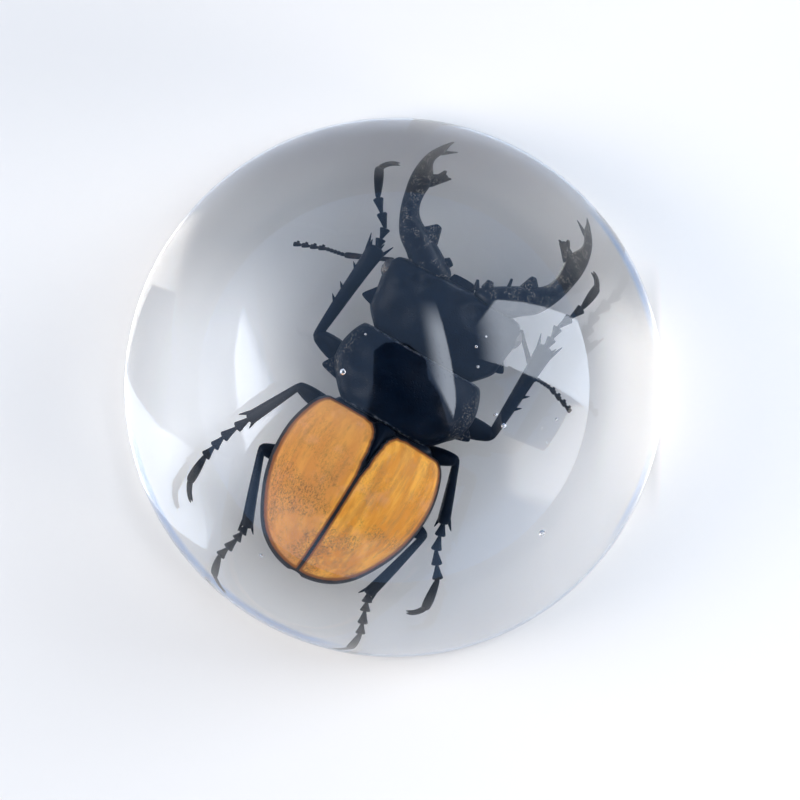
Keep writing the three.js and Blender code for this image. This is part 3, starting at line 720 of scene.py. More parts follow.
def make_hind_body():
    """The belly and its plates, with the black wedge between the wing cases."""
    piece = begin("hind_body_plates")
    draw_body(belly_rows())
    smooth_out(piece, 1)
    bpy.ops.object.mode_set(mode="EDIT")
    wedge = [
        ((BEETLE_X, y, top - SCUTELLUM_DEPTH / 2), 2 * (half + SCUTELLUM_LAP), SCUTELLUM_DEPTH)
        for (y, half), top in zip(reversed(SCUTELLUM_EDGE), SCUTELLUM_TOPS)
    ]
    draw_limb(wedge, SCUTELLUM_SIDES)
    smooth_out(piece, 1)
    press_both_sides(piece, BELLY_DENTS)
    lean(hind=True)
    return finish_piece(piece, black_cuticle, "black_cuticle", "hind_body")


# ======== mandibles ========
def mandible_height(y):
    """The height of the mandible's middle, which droops towards its tip."""
    return MANDIBLE_ROOT_Z - MANDIBLE_DROOP * (y - MANDIBLE_ROOT_Y) ** 2


def on_mandible(spot, side):
    """A spot of a mandible seen from above, given for the right side, at its height."""
    return mirrored((*spot, mandible_height(spot[1])), side)


def make_mandible(side, word):
    """A curved horn whose section follows its outer and inner edge, with teeth drawn out."""
    rings, axes = [], []
    for outer, inner, height in MANDIBLE_STATIONS:
        outer_point, inner_point = (Vector(on_mandible(spot, side)) for spot in (outer, inner))
        across = (outer_point - inner_point).normalized() * side
        run = UP.cross(across).normalized()
        over = across.cross(run)
        middle = (outer_point + inner_point) / 2
        rings.append((middle, (outer_point - inner_point).length, height))
        axes.append(Matrix((across, over, -run)).transposed())
    piece = begin(f"mandible_horn_{word}")
    draw_limb(rings, MANDIBLE_SIDES, axes)
    for foot, tip, width, blunt in (*TEETH_BOTH, *TEETH[word]):
        ends = on_mandible(foot, side), on_mandible(tip, side)
        grow_point(*ends, width, min(width, TOOTH_HEIGHT), blunt)
    smooth_out(piece, 2)
    lean()
    return finish_piece(piece, mandible_black, "black_cuticle", f"mandible_{word}")


# ======== antennae ========
def make_antenna(word):
    """An elbowed feeler: a stem, a row of beads and a club of leaves with side lobes."""
    joints = ANTENNAE[word]
    root, elbow, club, tip = in_place(joints[joint] for joint in ("root", "elbow", "club", "tip"))
    piece = begin(f"feeler_{word}")
    draw_along(root, elbow, FEELER_STEM)
    for near, far in links(elbow, club, ANTENNA_BEADS, FEELER_BEAD_LAP):
        draw_along(near, far, FEELER_BEAD, sides=THIN_LIMB_SIDES)
    for near, far in links(club, tip, CLUB_LEAVES, CLUB_LEAF_LAP, CLUB_LEAF_REACH):
        draw_along(near, far, CLUB_LEAF, sides=THIN_LIMB_SIDES)
        lobe = Vector(part_way(near, far, LOBE_AT))
        lobe_tip = lobe + Vector((0, LOBE_LENGTH, 0))
        grow_point(lobe, lobe_tip, LOBE_WIDTH, LOBE_HEIGHT, LOBE_BLUNT, THORN_SIDES)
    smooth_out(piece, 1)
    return finish_piece(piece, brown_black, "black_cuticle", f"antenna_{word}")


# ======== legs ========
def make_leg(name, leg):
    """A leg: thigh, thorny shin, four foot beads, the long last joint and two claws."""
    hip, knee, ankle, heel, last, toe, claw = in_place(
        leg[joint] for joint in ("hip", "knee", "ankle", "heel", "last", "toe", "claw")
    )
    is_front = name.startswith("front")
    piece = begin(f"{name}_jointed")
    draw_along(hip, knee, THIGH, leg["femur"], THICK_LIMB_SIDES)
    shin = FRONT_SHIN if is_front else OTHER_SHIN
    draw_along(knee, ankle, shin, leg["tibia"], THICK_LIMB_SIDES)
    grow_thorns(leg, knee, ankle, FRONT_SPURS if is_front else OTHER_SPURS)
    for start, end in ((ankle, heel), (heel, last)):
        for near, far in links(start, end, FOOT_BEADS):
            draw_along(near, far, FOOT_BEAD)
    draw_along(last, toe, LAST_JOINT)
    for spread in (-1, 1):
        draw_claw(last, toe, claw, spread)
    smooth_out(piece, 1)
    return finish_piece(piece, black_cuticle, "black_cuticle", name)


def grow_thorns(leg, knee, ankle, spurs):
    """Thorns along the shin's outer edge, and spurs at its end."""
    tibia = leg["tibia"]
    run = (Vector(ankle) - Vector(knee)).normalized()
    side = 1 if knee[0] > BEETLE_X else -1
    out = Vector((run.y, -run.x, 0)).normalized() * side * (1 if run.y > 0 else -1)
    for share in leg["thorns"]:
        foot = Vector(part_way(knee, ankle, share))
        foot = foot + out * tibia * (THORN_ROOT + THORN_ROOT_GROWTH * share)
        tip = foot + out * THORN_OUT + run * THORN_ALONG
        grow_point(foot, tip, THORN_WIDTH, blunt=THORN_BLUNT, sides=THORN_SIDES)
    end = Vector(part_way(knee, ankle, SPURS_AT))
    for spread, lift, reach in spurs:
        foot = end + out * spread * tibia * SPUR_ROOT + UP * lift * SPUR_LIFT
        tip = foot + out * spread * SPUR_OUT + run * reach
        grow_point(foot, tip, SPUR_WIDTH, blunt=SPUR_BLUNT, sides=THORN_SIDES)


def draw_claw(last, toe, claw, spread):
    """A hooked claw that bends from the end of the foot to its point."""
    swing = (Vector(toe) - Vector(last)).normalized()
    start = Vector(part_way(last, toe, CLAW_ROOT_AT))
    tip = Vector(claw) + UP * spread * CLAW_SPREAD
    arch = Vector(toe).lerp(tip, CLAW_ARCH_AT) + swing * CLAW_ARCH
    rings = []
    for step in range(CLAW_RINGS):
        share = step / (CLAW_RINGS - 1)
        place = start * (1 - share) ** 2 + arch * 2 * share * (1 - share) + tip * share ** 2
        width = CLAW_WIDTH * (1 - share) ** CLAW_TAPER + CLAW_TIP
        rings.append((place, width, width))
    draw_limb(rings, THIN_LIMB_SIDES)


# ======== the resin dome ========
def make_resin():
    """A half ball cut flat, its rim softened, and its base kept truly flat for the light."""
    piece = begin("resin_dome_clear")
    add_more(
        bpy.ops.mesh.primitive_uv_sphere_add, segments=DOME_SEGMENTS,
        ring_count=DOME_SEGMENTS // 2, radius=DOME_RADIUS * MM,
    )
    bpy.ops.mesh.bisect(plane_co=(0, 0, 0), plane_no=(0, 0, -1), use_fill=True, clear_outer=True)
    pick(piece, "edges", lambda edge: all(abs(vertex.co.z) < HARDLY_OFF for vertex in edge.verts))
    bpy.ops.mesh.bevel(offset=BASE_BEVEL * MM, segments=BASE_BEVEL_STEPS, profile=0.5)
    pick(piece, "faces", lambda face: len(face.verts) >= DOME_SEGMENTS)
    bpy.ops.mesh.inset(thickness=BASE_INSET * MM)
    return finish_piece(piece, clear_resin, "clear_resin", "resin_dome", "resin_base")


def make_bubbles():
    """Small air bubbles caught above the beetle; one is made and copied to each place."""
    first = begin("air_bubble_1")
    place, radius = BUBBLES[0]
    add_more(
        bpy.ops.mesh.primitive_ico_sphere_add, subdivisions=BALL_FINENESS,
        radius=radius * MM, location=Vector(place) * MM,
    )
    finish_piece(first, air_bubble, "clear_resin")
    for i, (spot, size) in enumerate(BUBBLES[1:], 2):
        bpy.ops.object.select_all(action="DESELECT")
        first.select_set(True)
        bpy.context.view_layer.objects.active = first
        bpy.ops.object.duplicate(linked=False)
        copy = bpy.context.object
        copy.name = f"air_bubble_{i}"
        bpy.ops.object.mode_set(mode="EDIT")
        bpy.ops.mesh.select_all(action="SELECT")
        grow((size / radius,) * 3, Vector(place) * MM)
        bpy.ops.transform.translate(value=(Vector(spot) - Vector(place)) * MM)
        finish_piece(copy, air_bubble, "clear_resin")


# ======== finishes ========
class Finish:
    """A node material in the making; lengths that it is given are in metres unless it says so."""

    def __init__(self, name):
        self.material = bpy.data.materials.new(name)
        self.material.use_nodes = True
        self.tree = self.material.node_tree
        self.tree.nodes.clear()
        self.place = self.add("ShaderNodeTexCoord").outputs["Object"]

    def add(self, kind, inputs=None, **settings):
        """Places a node, wires or sets its inputs, and sets what it is to do."""
        node = self.tree.nodes.new(kind)
        for name, value in settings.items():
            setattr(node, name, value)
        for name, value in (inputs or {}).items():
            socket = node.inputs[name]
            if isinstance(value, bpy.types.NodeSocket):
                self.tree.links.new(value, socket)
            else:
                socket.default_value = value
        return node

    def noise(self, size, detail=4.0, rough=0.55, stretch=None):
        """Cloudy noise whose patches are about `size` millimetres."""
        vector = self.place
        if stretch is not None:
            vector = self.add("ShaderNodeMapping", {"Vector": vector, "Scale": stretch}).outputs[0]
        return self.add("ShaderNodeTexNoise", {
            "Vector": vector, "Scale": 1 / (size * MM), "Detail": detail, "Roughness": rough,
        }).outputs["Fac"]

    def ramp(self, value, low, high, to_low=0.0, to_high=1.0):
        """The value's range from low to high, spread smoothly over another."""
        node = self.add("ShaderNodeMapRange", {
            "Value": value, "From Min": low, "From Max": high, "To Min": to_low,
            "To Max": to_high,
        }, interpolation_type="SMOOTHSTEP")
        return node.outputs["Result"]

    def band(self, value, rise, fall):
        """The stretch between a rise and a fall of the value, both given in millimetres."""
        return self.math("MULTIPLY", *(
            self.ramp(value, start * MM, end * MM) for start, end in (rise, fall)
        ))

    def math(self, operation, first, second=0.0):
        """One sum of two values, or of one."""
        return self.add("ShaderNodeMath", {0: first, 1: second}, operation=operation).outputs[0]

    def mix(self, share, first, second, blend="MIX"):
        """One colour over another by a share."""
        node = self.add("ShaderNodeMix", data_type="RGBA", blend_type=blend)
        for index, value in ((0, share), (6, first), (7, second)):
            if isinstance(value, bpy.types.NodeSocket):
                self.tree.links.new(value, node.inputs[index])
            elif index == 0:
                node.inputs[0].default_value = value
            else:
                node.inputs[index].default_value = (*value, 1)
        return node.outputs[2]

    def bump(self, height, depth, over=None):
        """A relief `depth` millimetres deep."""
        inputs = {"Height": height, "Strength": 1.0, "Distance": depth * MM}
        if over is not None:
            inputs["Normal"] = over
        return self.add("ShaderNodeBump", inputs).outputs["Normal"]

    def shade(self, inside=None, **inputs):
        """Ends the material in one shader, and for a clear one in what light loses inside it."""
        shader = self.add("ShaderNodeBsdfPrincipled", inputs)
        ends = {"Surface": shader.outputs["BSDF"]}
        if inside is not None:
            ends["Volume"] = inside
        self.add("ShaderNodeOutputMaterial", ends)
        return self.material


# ---- resin ----
RESIN_COLOUR = (0.992, 0.996, 1.0, 1)
RESIN_IOR = 1.55
RESIN_TINT = (0.6, 0.75, 0.95, 1)
RESIN_TINT_PER_METRE = 0.5
AIR_COLOUR = (1, 1, 1, 1)
BUBBLE_IOR = 0.645


def clear(finish, colour, bend, inside=None):
    """Ends a finish as a clear, polished stuff that bends light by `bend`."""
    return finish.shade(inside, **{
        "Base Color": colour, "Roughness": 0.0, "IOR": bend, "Transmission Weight": 1.0,
    })


def resin_finish():
    """Water-clear resin, which takes a trace of red from light on a long way through it."""
    finish = Finish("clear_cast_resin")
    tint = finish.add("ShaderNodeVolumeAbsorption", {
        "Color": RESIN_TINT, "Density": RESIN_TINT_PER_METRE,
    })
    return clear(finish, RESIN_COLOUR, RESIN_IOR, tint.outputs["Volume"])


def bubble_finish():
    """Air in resin: the light bends the other way at its skin."""
    return clear(Finish("air_bubble"), AIR_COLOUR, BUBBLE_IOR)


# ---- black horn ----
BLACK, BLACK_CLOUD = (0.0005, 0.003, 0.009), (0.001, 0.005, 0.013)
BROWN_BLACK, BROWN_BLACK_CLOUD = (0.009, 0.007, 0.006), (0.024, 0.017, 0.012)
# dust on the shield's sides; a painted highlight, the silvery glint of air caught at the shield's
# joints; and the jaws' pale flecks, partly speckles and partly a painted glint
DUST, JOINT_GLINT, FLECK = (0.16, 0.14, 0.12), (0.17, 0.18, 0.2), (0.34, 0.3, 0.26)
DUSTY_FROM = 7.3
DUST_RUN = 1.3
# from and to what y, in mm, the painted joint highlight runs along the shield's back and front
# edges
BACK_GLINT = (-4.15, -4.5)
FRONT_GLINT = (4.95, 5.2)
PIT_SIZE, PIT_DEPTH, GRAIN_DEPTH = 0.32, 0.02, 0.006
HORN_GLOSS, JAW_GLOSS = 0.06, 0.15
# how much of the jaws' pale flecks is laid on; they are partly speckles and partly a painted glint
JAW_FLECKS = 0.5


def cuticle_finish(name, deep=BLACK, pale=BLACK_CLOUD, dress=None, gloss=HORN_GLOSS):
    """Black horn: soft gloss, fine pits and faint clouding, and what `dress` lays over them."""
    finish = Finish(name)
    clouds = finish.noise(size=2.4, detail=5.0)
    colour = finish.mix(finish.ramp(clouds, 0.35, 0.7), deep, pale)
    pits = finish.add("ShaderNodeTexVoronoi", {
        "Vector": finish.place, "Scale": 1 / (PIT_SIZE * MM), "Randomness": 1.0,
    }).outputs["Distance"]
    grain = finish.noise(size=0.12, detail=3.0)
    if dress is not None:
        colour = dress(finish, colour)
    relief = finish.bump(finish.ramp(pits, 0.0, 0.45), PIT_DEPTH)
    relief = finish.bump(grain, GRAIN_DEPTH, relief)
    return finish.shade(**{
        "Base Color": colour, "Roughness": finish.ramp(clouds, 0.3, 0.75, 0.28, 0.46),
        "Specular IOR Level": gloss, "Normal": relief,
    })


def lay_dust_and_glint(finish, colour):
    """Dust along the shield's sides, and a painted highlight, the silvery glint of air caught
    where it meets its neighbours.
    """
    spot = finish.add("ShaderNodeSeparateXYZ", {0: finish.place})
    side = finish.math("ABSOLUTE", finish.math("SUBTRACT", spot.outputs["X"], BEETLE_X * MM))
    near_side = finish.ramp(side, DUSTY_FROM * MM, (DUSTY_FROM + DUST_RUN) * MM)
    flecks = finish.ramp(finish.noise(size=0.3, detail=6.0, rough=0.7), 0.52, 0.66)
    colour = finish.mix(finish.math("MULTIPLY", near_side, flecks), colour, DUST)
    # painted highlight: a broken silvery line along the shield's back and front edges
    ends = (
        finish.ramp(spot.outputs["Y"], start * MM, end * MM)
        for start, end in (BACK_GLINT, FRONT_GLINT)
    )
    breaks = finish.ramp(finish.noise(size=0.6, detail=5.0, rough=0.75), 0.49, 0.58)
    glint_share = finish.math("MULTIPLY", finish.math("MAXIMUM", *ends), breaks)
    return finish.mix(glint_share, colour, JOINT_GLINT)


def lay_flecks_and_glint(finish, colour):
    """Pale flecks in patches, as on the jaws: partly speckles in the horn, partly a painted glint
    of air caught on them.
    """
    patches = finish.ramp(finish.noise(size=1.5, detail=3.0), 0.47, 0.58)
    flecks = finish.ramp(finish.noise(size=0.22, detail=5.0, rough=0.7), 0.51, 0.6)
    share = finish.math("MULTIPLY", finish.math("MULTIPLY", patches, flecks), JAW_FLECKS)
    return finish.mix(share, colour, FLECK)


# ---- golden horn ----
GOLD_DEEP, GOLD_PALE = (0.8, 0.29, 0.025), (1.0, 0.45, 0.055)
GOLD_BAND, GOLD_DULL, GOLD_SMUDGE = (0.5, 0.2, 0.05), (0.74, 0.3, 0.08), (0.42, 0.2, 0.055)
GOLD_PINK, GOLD_SPECK = (0.9, 0.42, 0.2), (0.16, 0.085, 0.035)
MARGIN_BROWN, MARGIN_BLACK = (0.3, 0.085, 0.012), (0.008, 0.007, 0.008)
BAND_SHARE, DULL_SHARE, SMUDGE_SHARE, PINK_SHARE = 0.3, 0.62, 0.45, 0.3
MARGIN_WAVER = -0.12
STREAK_DEPTH, GOLD_GRAIN_DEPTH = 0.05, 0.012


def golden_wing_finish():
    """Golden horn with lengthwise streaks and dusty mottling, in a narrow black margin."""
    finish = Finish("golden_wing_case")
    streaks = finish.noise(size=1.5, detail=5.0, rough=0.6, stretch=(1.0, 0.16, 1.0))
    fine = finish.noise(size=0.35, detail=5.0, rough=0.65, stretch=(1.0, 0.3, 1.0))
    clouds = finish.noise(size=4.5, detail=3.0)
    colour = finish.mix(finish.ramp(streaks, 0.36, 0.64), GOLD_DEEP, GOLD_PALE)
    bands = finish.ramp(finish.noise(size=1.3, detail=2.0, stretch=(1.0, 0.07, 1.0)), 0.5, 0.6)
    colour = finish.mix(finish.math("MULTIPLY", bands, BAND_SHARE), colour, GOLD_BAND)
    spot = finish.add("ShaderNodeSeparateXYZ", {0: finish.place})
    left = finish.ramp(spot.outputs["X"], 1.6 * MM, -0.4 * MM)
    colour = finish.mix(finish.math("MULTIPLY", left, DULL_SHARE), colour, GOLD_DULL)
    rear = finish.ramp(spot.outputs["Y"], -9.0 * MM, -20.0 * MM)
    smudges = finish.noise(size=0.9, detail=4.0, rough=0.65, stretch=(1.0, 0.22, 1.0))
    smudges = finish.math("MULTIPLY", finish.ramp(smudges, 0.5, 0.7), SMUDGE_SHARE)
    colour = finish.mix(smudges, colour, GOLD_SMUDGE)
    specks = finish.noise(size=0.24, detail=5.0, rough=0.8, stretch=(1.0, 0.55, 1.0))
    patches = finish.ramp(clouds, 0.45, 0.58)
    specks = finish.math("MULTIPLY", finish.ramp(specks, 0.42, 0.7), patches)
    specks = finish.math("MULTIPLY", specks, finish.ramp(rear, 0.0, 1.0, 0.3, 0.95))
    colour = finish.mix(specks, colour, GOLD_SPECK)
    pink = finish.ramp(finish.noise(size=3.0, detail=3.0), 0.52, 0.72)
    colour = finish.mix(finish.math("MULTIPLY", pink, PINK_SHARE), colour, GOLD_PINK)
    margin = finish.add("ShaderNodeAttribute", attribute_name="margin").outputs["Fac"]
    waver = finish.math("MULTIPLY", finish.noise(size=0.8, detail=3.0), MARGIN_WAVER)
    inward = finish.math("ADD", margin, waver)
    colour = finish.mix(finish.ramp(inward, 0.55, 0.3), colour, MARGIN_BROWN)
    colour = finish.mix(finish.ramp(inward, 0.24, 0.1), colour, MARGIN_BLACK)
    relief = finish.bump(finish.noise(size=0.18, detail=4.0), GOLD_GRAIN_DEPTH)
    relief = finish.bump(streaks, STREAK_DEPTH, relief)
    return finish.shade(**{
        "Base Color": colour, "Roughness": finish.ramp(fine, 0.3, 0.8, 0.34, 0.55),
        "Specular IOR Level": 0.2, "Normal": relief,
    })


EYE_DARK, EYE_AMBER = (0.012, 0.008, 0.007), (0.035, 0.022, 0.014)


def eye_finish():
    """Dark amber, glossier than the horn round it."""
    finish = Finish("eye_amber")
    colour = finish.mix(finish.ramp(finish.noise(size=0.5), 0.35, 0.7), EYE_DARK, EYE_AMBER)
    return finish.shade(**{"Base Color": colour, "Roughness": 0.2, "Specular IOR Level": 0.5})


clear_resin = resin_finish()
air_bubble = bubble_finish()
black_cuticle = cuticle_finish("black_cuticle")
shield_black = cuticle_finish("shield_black", dress=lay_dust_and_glint)
mandible_black = cuticle_finish("mandible_black", dress=lay_flecks_and_glint, gloss=JAW_GLOSS)
brown_black = cuticle_finish("brown_black", BROWN_BLACK, BROWN_BLACK_CLOUD)
golden_wing = golden_wing_finish()
eye_amber = eye_finish()


# ======== the studio ========
VIEW_TURN = math.radians(30)
VIEW_HEIGHT = 800.0
VIEW_RIGHT, VIEW_DOWN = 1.0, 2.08
FOCAL_WIDTHS = 5.99
SENSOR = 36.0


def make_camera():
    """Straight above, turned so that the beetle's head points up and to the right."""
    bpy.ops.object.select_all(action="DESELECT")
    right = Vector((math.cos(VIEW_TURN), math.sin(VIEW_TURN), 0))
    up = Vector((-math.sin(VIEW_TURN), math.cos(VIEW_TURN), 0))
    place = right * VIEW_RIGHT - up * VIEW_DOWN + UP * VIEW_HEIGHT
    bpy.ops.object.camera_add(location=place * MM, rotation=(0, 0, VIEW_TURN))
    camera = bpy.context.object
    camera.data.sensor_width = SENSOR
    camera.data.lens = SENSOR * FOCAL_WIDTHS
    camera.data.clip_start = 0.01
    camera.data.clip_end = 10
    bpy.context.scene.camera = camera


# ---- the table ----
TABLE_SIZE = 6
TABLE_GAP = 0.15
TABLE, TABLE_CLOUD, TABLE_FAR_SHADE = (0.79, 0.735, 0.66), (0.805, 0.75, 0.675), (0.2, 0.22, 0.24)
# painted shade under the dome and by its right rim, and the painted blue light of the rim's arcs
SHADE_BLUE, RIM_SHADE, RIM_BLUE = (0.2, 0.2, 0.23), (0.42, 0.4, 0.37), (0.05, 0.26, 0.62)
# the colour of the painted light, a glow, on the table
GLOW_COLOUR = (1, 0.985, 0.975, 1)
SHADE_DEPTH, RIM_SHADE_DEPTH = 0.95, 0.85
# blue light that the dome's rim throws on the table: from and to what angle, how deep
RIM_ARCS = ((-176, -98, 0.95), (-38, -5, 0.75), (6, 46, 0.95))
ARC_RUN = 14


def make_floor():
    """A pale table, with the shade and the light that the dome throws on it painted in by place.
    """
    bpy.ops.object.select_all(action="DESELECT")
    bpy.ops.mesh.primitive_plane_add(size=TABLE_SIZE, location=(0, 0, -TABLE_GAP * MM))
    floor = bpy.context.object
    floor.name = "pale_table"
    finish = Finish("pale_table")
    away = finish.add(
        "ShaderNodeVectorMath", {0: finish.place}, operation="LENGTH",
    ).outputs["Value"]
    turned = finish.add("ShaderNodeVectorRotate", {
        "Vector": finish.place, "Angle": -VIEW_TURN,
    }, rotation_type="Z_AXIS").outputs[0]
    split = finish.add("ShaderNodeSeparateXYZ", {0: turned})
    across, along = split.outputs["X"], split.outputs["Y"]
    floor.data.materials.append(finish.shade(**{
        "Base Color": table_colour(finish, away, across, along), "Roughness": 0.75,
        "Emission Strength": table_glow(finish, away, across, along),
        "Emission Color": GLOW_COLOUR,
    }))


def table_colour(finish, away, across, along):
    """The table's colour, with painted shade: darker far off, under the dome and by its right rim,
    and painted blue light in arcs at its rim.
    """
    colour = finish.mix(finish.noise(size=60.0, detail=2.0), TABLE, TABLE_CLOUD)
    # painted shade: the table grows darker far off, where less light reaches it
    colour = finish.mix(finish.ramp(away, 90 * MM, 260 * MM), colour, TABLE_FAR_SHADE)
    # painted shade under the dome, deepest towards its top in the view
    under = finish.ramp(away, 43 * MM, 38 * MM)
    shade = finish.ramp(along, 18 * MM, 38 * MM, 0.0, SHADE_DEPTH)
    colour = finish.mix(finish.math("MULTIPLY", under, shade), colour, SHADE_BLUE)
    # painted shade on the table by the dome's right rim
    rim = finish.band(across, (24, 34), (45, 43))
    middle = finish.ramp(finish.math("ABSOLUTE", along), 24 * MM, 8 * MM)
    rim = finish.math("MULTIPLY", rim, middle)
    colour = finish.mix(finish.math("MULTIPLY", rim, RIM_SHADE_DEPTH), colour, RIM_SHADE)
    ring = finish.band(away, (33.2, 34.8), (38.0, 36.6))
    around = finish.math("ARCTAN2", along, across)
    for start, end, depth in RIM_ARCS:
        arc = finish.math(
            "MULTIPLY", finish.ramp(around, math.radians(start), math.radians(start + ARC_RUN)),
            finish.ramp(around, math.radians(end), math.radians(end - ARC_RUN)),
        )
        arc = finish.math("MULTIPLY", finish.math("MULTIPLY", arc, ring), depth)
        colour = finish.mix(arc, colour, RIM_BLUE)
    return colour


def table_glow(finish, away, across, along):
    """Painted light, a glow of the table: under the dome the light that the dome gathers, most at
    its sides and near edge; outside it, brighter to the right and dimmer far along.
    """
    left = finish.math(
        "SUBTRACT", finish.ramp(across, -6 * MM, -19 * MM, 0.0, 0.36),
        finish.ramp(across, -22 * MM, -32 * MM, 0.0, 0.16),
    )
    left = finish.math("MULTIPLY", left, finish.ramp(along, -16 * MM, -3 * MM, 0.15, 1.0))
    sides = finish.math("ADD", finish.ramp(across, 10 * MM, 27 * MM, 0.0, 0.16), left)
    sides = finish.math("MULTIPLY", sides, finish.ramp(along, 20 * MM, 5 * MM))
    near = finish.math("ADD", sides, finish.ramp(along, 8 * MM, -14 * MM, 0.0, 0.16))
    ends = finish.math(
        "ADD", finish.ramp(along, 20 * MM, 60 * MM, 0.0, 0.11),
        finish.ramp(along, -20 * MM, -60 * MM, 0.0, 0.06),
    )
    far = finish.math("SUBTRACT", finish.ramp(across, -60 * MM, 60 * MM, 0.12, 0.24), ends)
    return finish.add("ShaderNodeMix", {
        0: finish.ramp(away, 36 * MM, 43 * MM), 2: near, 3: far,
    }).outputs[0]


# ---- the lights ----
TENT_STRENGTH = 1.15
PALE = (0.9, 0.905, 0.92, 1)
TENT_TINT = (0.6, 0.9, 1.45)
LAMP_TINT = (0.88, 0.98, 1.14)
SIDE_TINT = (1.05, 1.0, 0.95)
TENT_SIDES, TENT_TOP = 0.58, 0.5
# the lamp at the left: around, down, inner and outer angle, then strength and mirror image
LEFT_LAMP = (194, 74, 10, 45)
LEFT_LAMP_STRENGTH, LEFT_LAMP_KEPT = 7.0, 0.12
# the boards, in the order that one covers another: the plane that it lies on, its corners,
# how soft each edge is, tint, strength, and how much of its mirror image is kept
BOARDS = {
    "low": (
        "right_wall", [(-0.7, -0.12), (-0.1, -0.12), (-0.1, 0.85), (-0.5, 0.85), (-0.9, 0.5)],
        [0.02, 0.02, 0.3, 0.2, 0.1], SIDE_TINT, 5.2, 0.5,
    ),
    "key": (
        "right_wall", [(-0.14, -0.1), (0.31, -0.1), (0.86, 0.82), (0.8, 1.1), (0.25, 1.1)],
        [0.02, 0.01, 0.03, 0.3, 0.01], LAMP_TINT, 5.4, 1,
    ),
    "dark": (
        "right_wall",
        [(-0.107, 0.174), (0.189, 0.857), (-0.094, 1.036), (-0.433, 0.879), (-0.424, 0.342)],
        [0.008] * 5, TENT_TINT, 0.4, 1,
    ),
    "strip": (
        "ceiling", [(0.335, 0.0), (0.475, -0.235), (0.49, -0.1), (0.39, 0.6), (0.27, 0.6)],
        [0.02, 0.01, 0.012, 0.2, 0.08], LAMP_TINT, 5.6, 1,
    ),
    "arm": (
        "ceiling",
        [(-0.3, -0.6), (0.55, -0.6), (0.5, -0.28), (0.34, -0.05), (0.3, 0.06), (-0.15, 0.02)],
        [0.05, 0.05, 0.01, 0.01, 0.02, 0.03], TENT_TINT, 0.03, 1,
    ),
    "hood": (
        "ceiling",
        [(-0.15, -0.1), (0.27, -0.1), (0.24, 0.21), (0.1, 0.33), (-0.06, 0.34), (-0.15, 0.27)],
        [0.01] * 6, TENT_TINT, 0.0, 1,
    ),
}


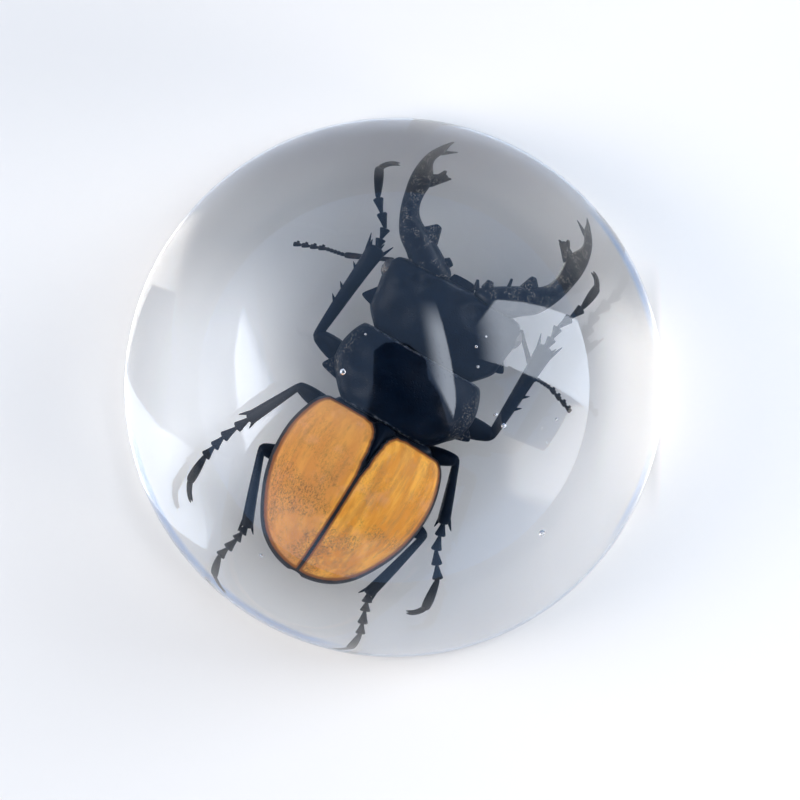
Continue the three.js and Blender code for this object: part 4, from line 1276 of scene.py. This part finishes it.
class Sky(Finish):
    """The soft lights round the table, drawn by direction: x to the view's right, y up it."""

    def __init__(self):
        self.world = bpy.data.worlds.new("studio")
        self.world.use_nodes = True
        self.tree = self.world.node_tree
        self.tree.nodes.clear()
        self.place = self.add("ShaderNodeTexCoord").outputs["Generated"]
        self.heading = self.add("ShaderNodeVectorRotate", {
            "Vector": self.place, "Angle": -VIEW_TURN,
        }, rotation_type="Z_AXIS").outputs[0]
        split = self.add("ShaderNodeSeparateXYZ", {0: self.heading})
        self.x, self.y, self.z = (split.outputs[axis] for axis in "XYZ")
        self.planes = {
            "ceiling": self.on_plane(self.x, self.y, self.z),
            "right_wall": self.on_plane(self.y, self.z, self.x),
        }
        self.light = (0.0, 0.0, 0.0)
        path = self.add("ShaderNodeLightPath")
        self.seen_direct = path.outputs["Is Camera Ray"]
        self.mirrored = self.math(
            "MULTIPLY", path.outputs["Is Reflection Ray"], path.outputs["Is Glossy Ray"],
        )

    def on_plane(self, first, second, depth):
        """Where the direction meets a plane one unit away, and whether it does."""
        deep = self.math("MAXIMUM", depth, 0.001)
        spot = self.add("ShaderNodeCombineXYZ", {
            0: self.math("DIVIDE", first, deep), 1: self.math("DIVIDE", second, deep), 2: 1.0,
        }).outputs[0]
        return spot, self.math("GREATER_THAN", depth, 0.002)

    def board(self, plane, corners, softness):
        """A flat board with straight edges on a plane; one softness for each edge."""
        spot, share = plane
        for (x0, y0), (x1, y1), soft in zip(corners, corners[1:] + corners[:1], softness):
            length = math.hypot(x1 - x0, y1 - y0)
            inward = ((y0 - y1) / length, (x1 - x0) / length)
            edge = (*inward, -(inward[0] * x0 + inward[1] * y0))
            depth = self.add(
                "ShaderNodeVectorMath", {0: spot, 1: edge}, operation="DOT_PRODUCT",
            ).outputs["Value"]
            share = self.math("MULTIPLY", share, self.ramp(depth, -soft, soft))
        return share

    def lamp(self, around, down, inner, outer):
        """A round lamp `around` from the right and `down` from overhead, all in degrees."""
        around, down = math.radians(around), math.radians(down)
        level = math.sin(down)
        axis = (level * math.cos(around), level * math.sin(around), math.cos(down))
        facing = self.add(
            "ShaderNodeVectorMath", {0: self.heading, 1: axis}, operation="DOT_PRODUCT",
        ).outputs["Value"]
        return self.ramp(facing, math.cos(math.radians(outer)), math.cos(math.radians(inner)))

    def flagged(self, share, kept):
        """A light whose mirror image is dimmed to `kept`, as a black flag would do it."""
        return self.math("MULTIPLY", share, self.ramp(self.mirrored, 0.0, 1.0, 1.0, kept))

    def paint(self, share, colour, strength=1.0):
        """Lays a light over what is there, by a share."""
        if isinstance(colour, tuple):
            colour = tuple(part * strength for part in colour)
        self.light = self.mix(share, self.light, colour)

    def hang(self):
        """Hangs the lights round the table; where the camera sees past it, all is pale."""
        tent = self.add("ShaderNodeBackground", {"Color": self.light, "Strength": TENT_STRENGTH})
        pale = self.add("ShaderNodeBackground", {"Color": PALE, "Strength": 1.0})
        seen = self.add("ShaderNodeMixShader", {
            0: self.seen_direct, 1: tent.outputs[0], 2: pale.outputs[0],
        })
        self.add("ShaderNodeOutputWorld", {"Surface": seen.outputs[0]})
        bpy.context.scene.world = self.world

def make_studio():
    """A pale tent with a lamp at the left, boards at the right and overhead, and dark flags."""
    sky = Sky()
    sky.light = tuple(TENT_SIDES * part for part in TENT_TINT)
    sky.paint(sky.ramp(sky.z, 0.5, 0.85), TENT_TINT, TENT_TOP)
    left = sky.flagged(sky.lamp(*LEFT_LAMP), LEFT_LAMP_KEPT)
    sky.paint(left, SIDE_TINT, LEFT_LAMP_STRENGTH)
    near_wall = sky.mix(1.0, sky.ramp(sky.z, 0.25, 0.5, 0.75, 0.07), TENT_TINT, blend="MULTIPLY")
    sky.paint(sky.ramp(sky.y, -0.12, -0.4), near_wall)
    for plane, corners, softness, tint, strength, kept in BOARDS.values():
        share = sky.board(sky.planes[plane], corners, softness)
        if kept < 1:
            share = sky.flagged(share, kept)
        sky.paint(share, tint, strength)
    sky.hang()
    scene = bpy.context.scene
    scene.view_settings.view_transform = "Standard"
    scene.cycles.max_bounces = 32
    scene.cycles.diffuse_bounces = 12
    scene.cycles.glossy_bounces = 16
    scene.cycles.transmission_bounces = 24


# ======== putting it together ========
make_camera()
make_floor()
make_studio()
make_head()
make_pronotum()
make_hind_body()
for side, word in SIDES:
    make_wing_case(side, word)
    make_mandible(side, word)
    make_eye(side, word)
    make_antenna(word)
for name, leg in LEGS.items():
    make_leg(name, leg)
make_resin()
make_bubbles()
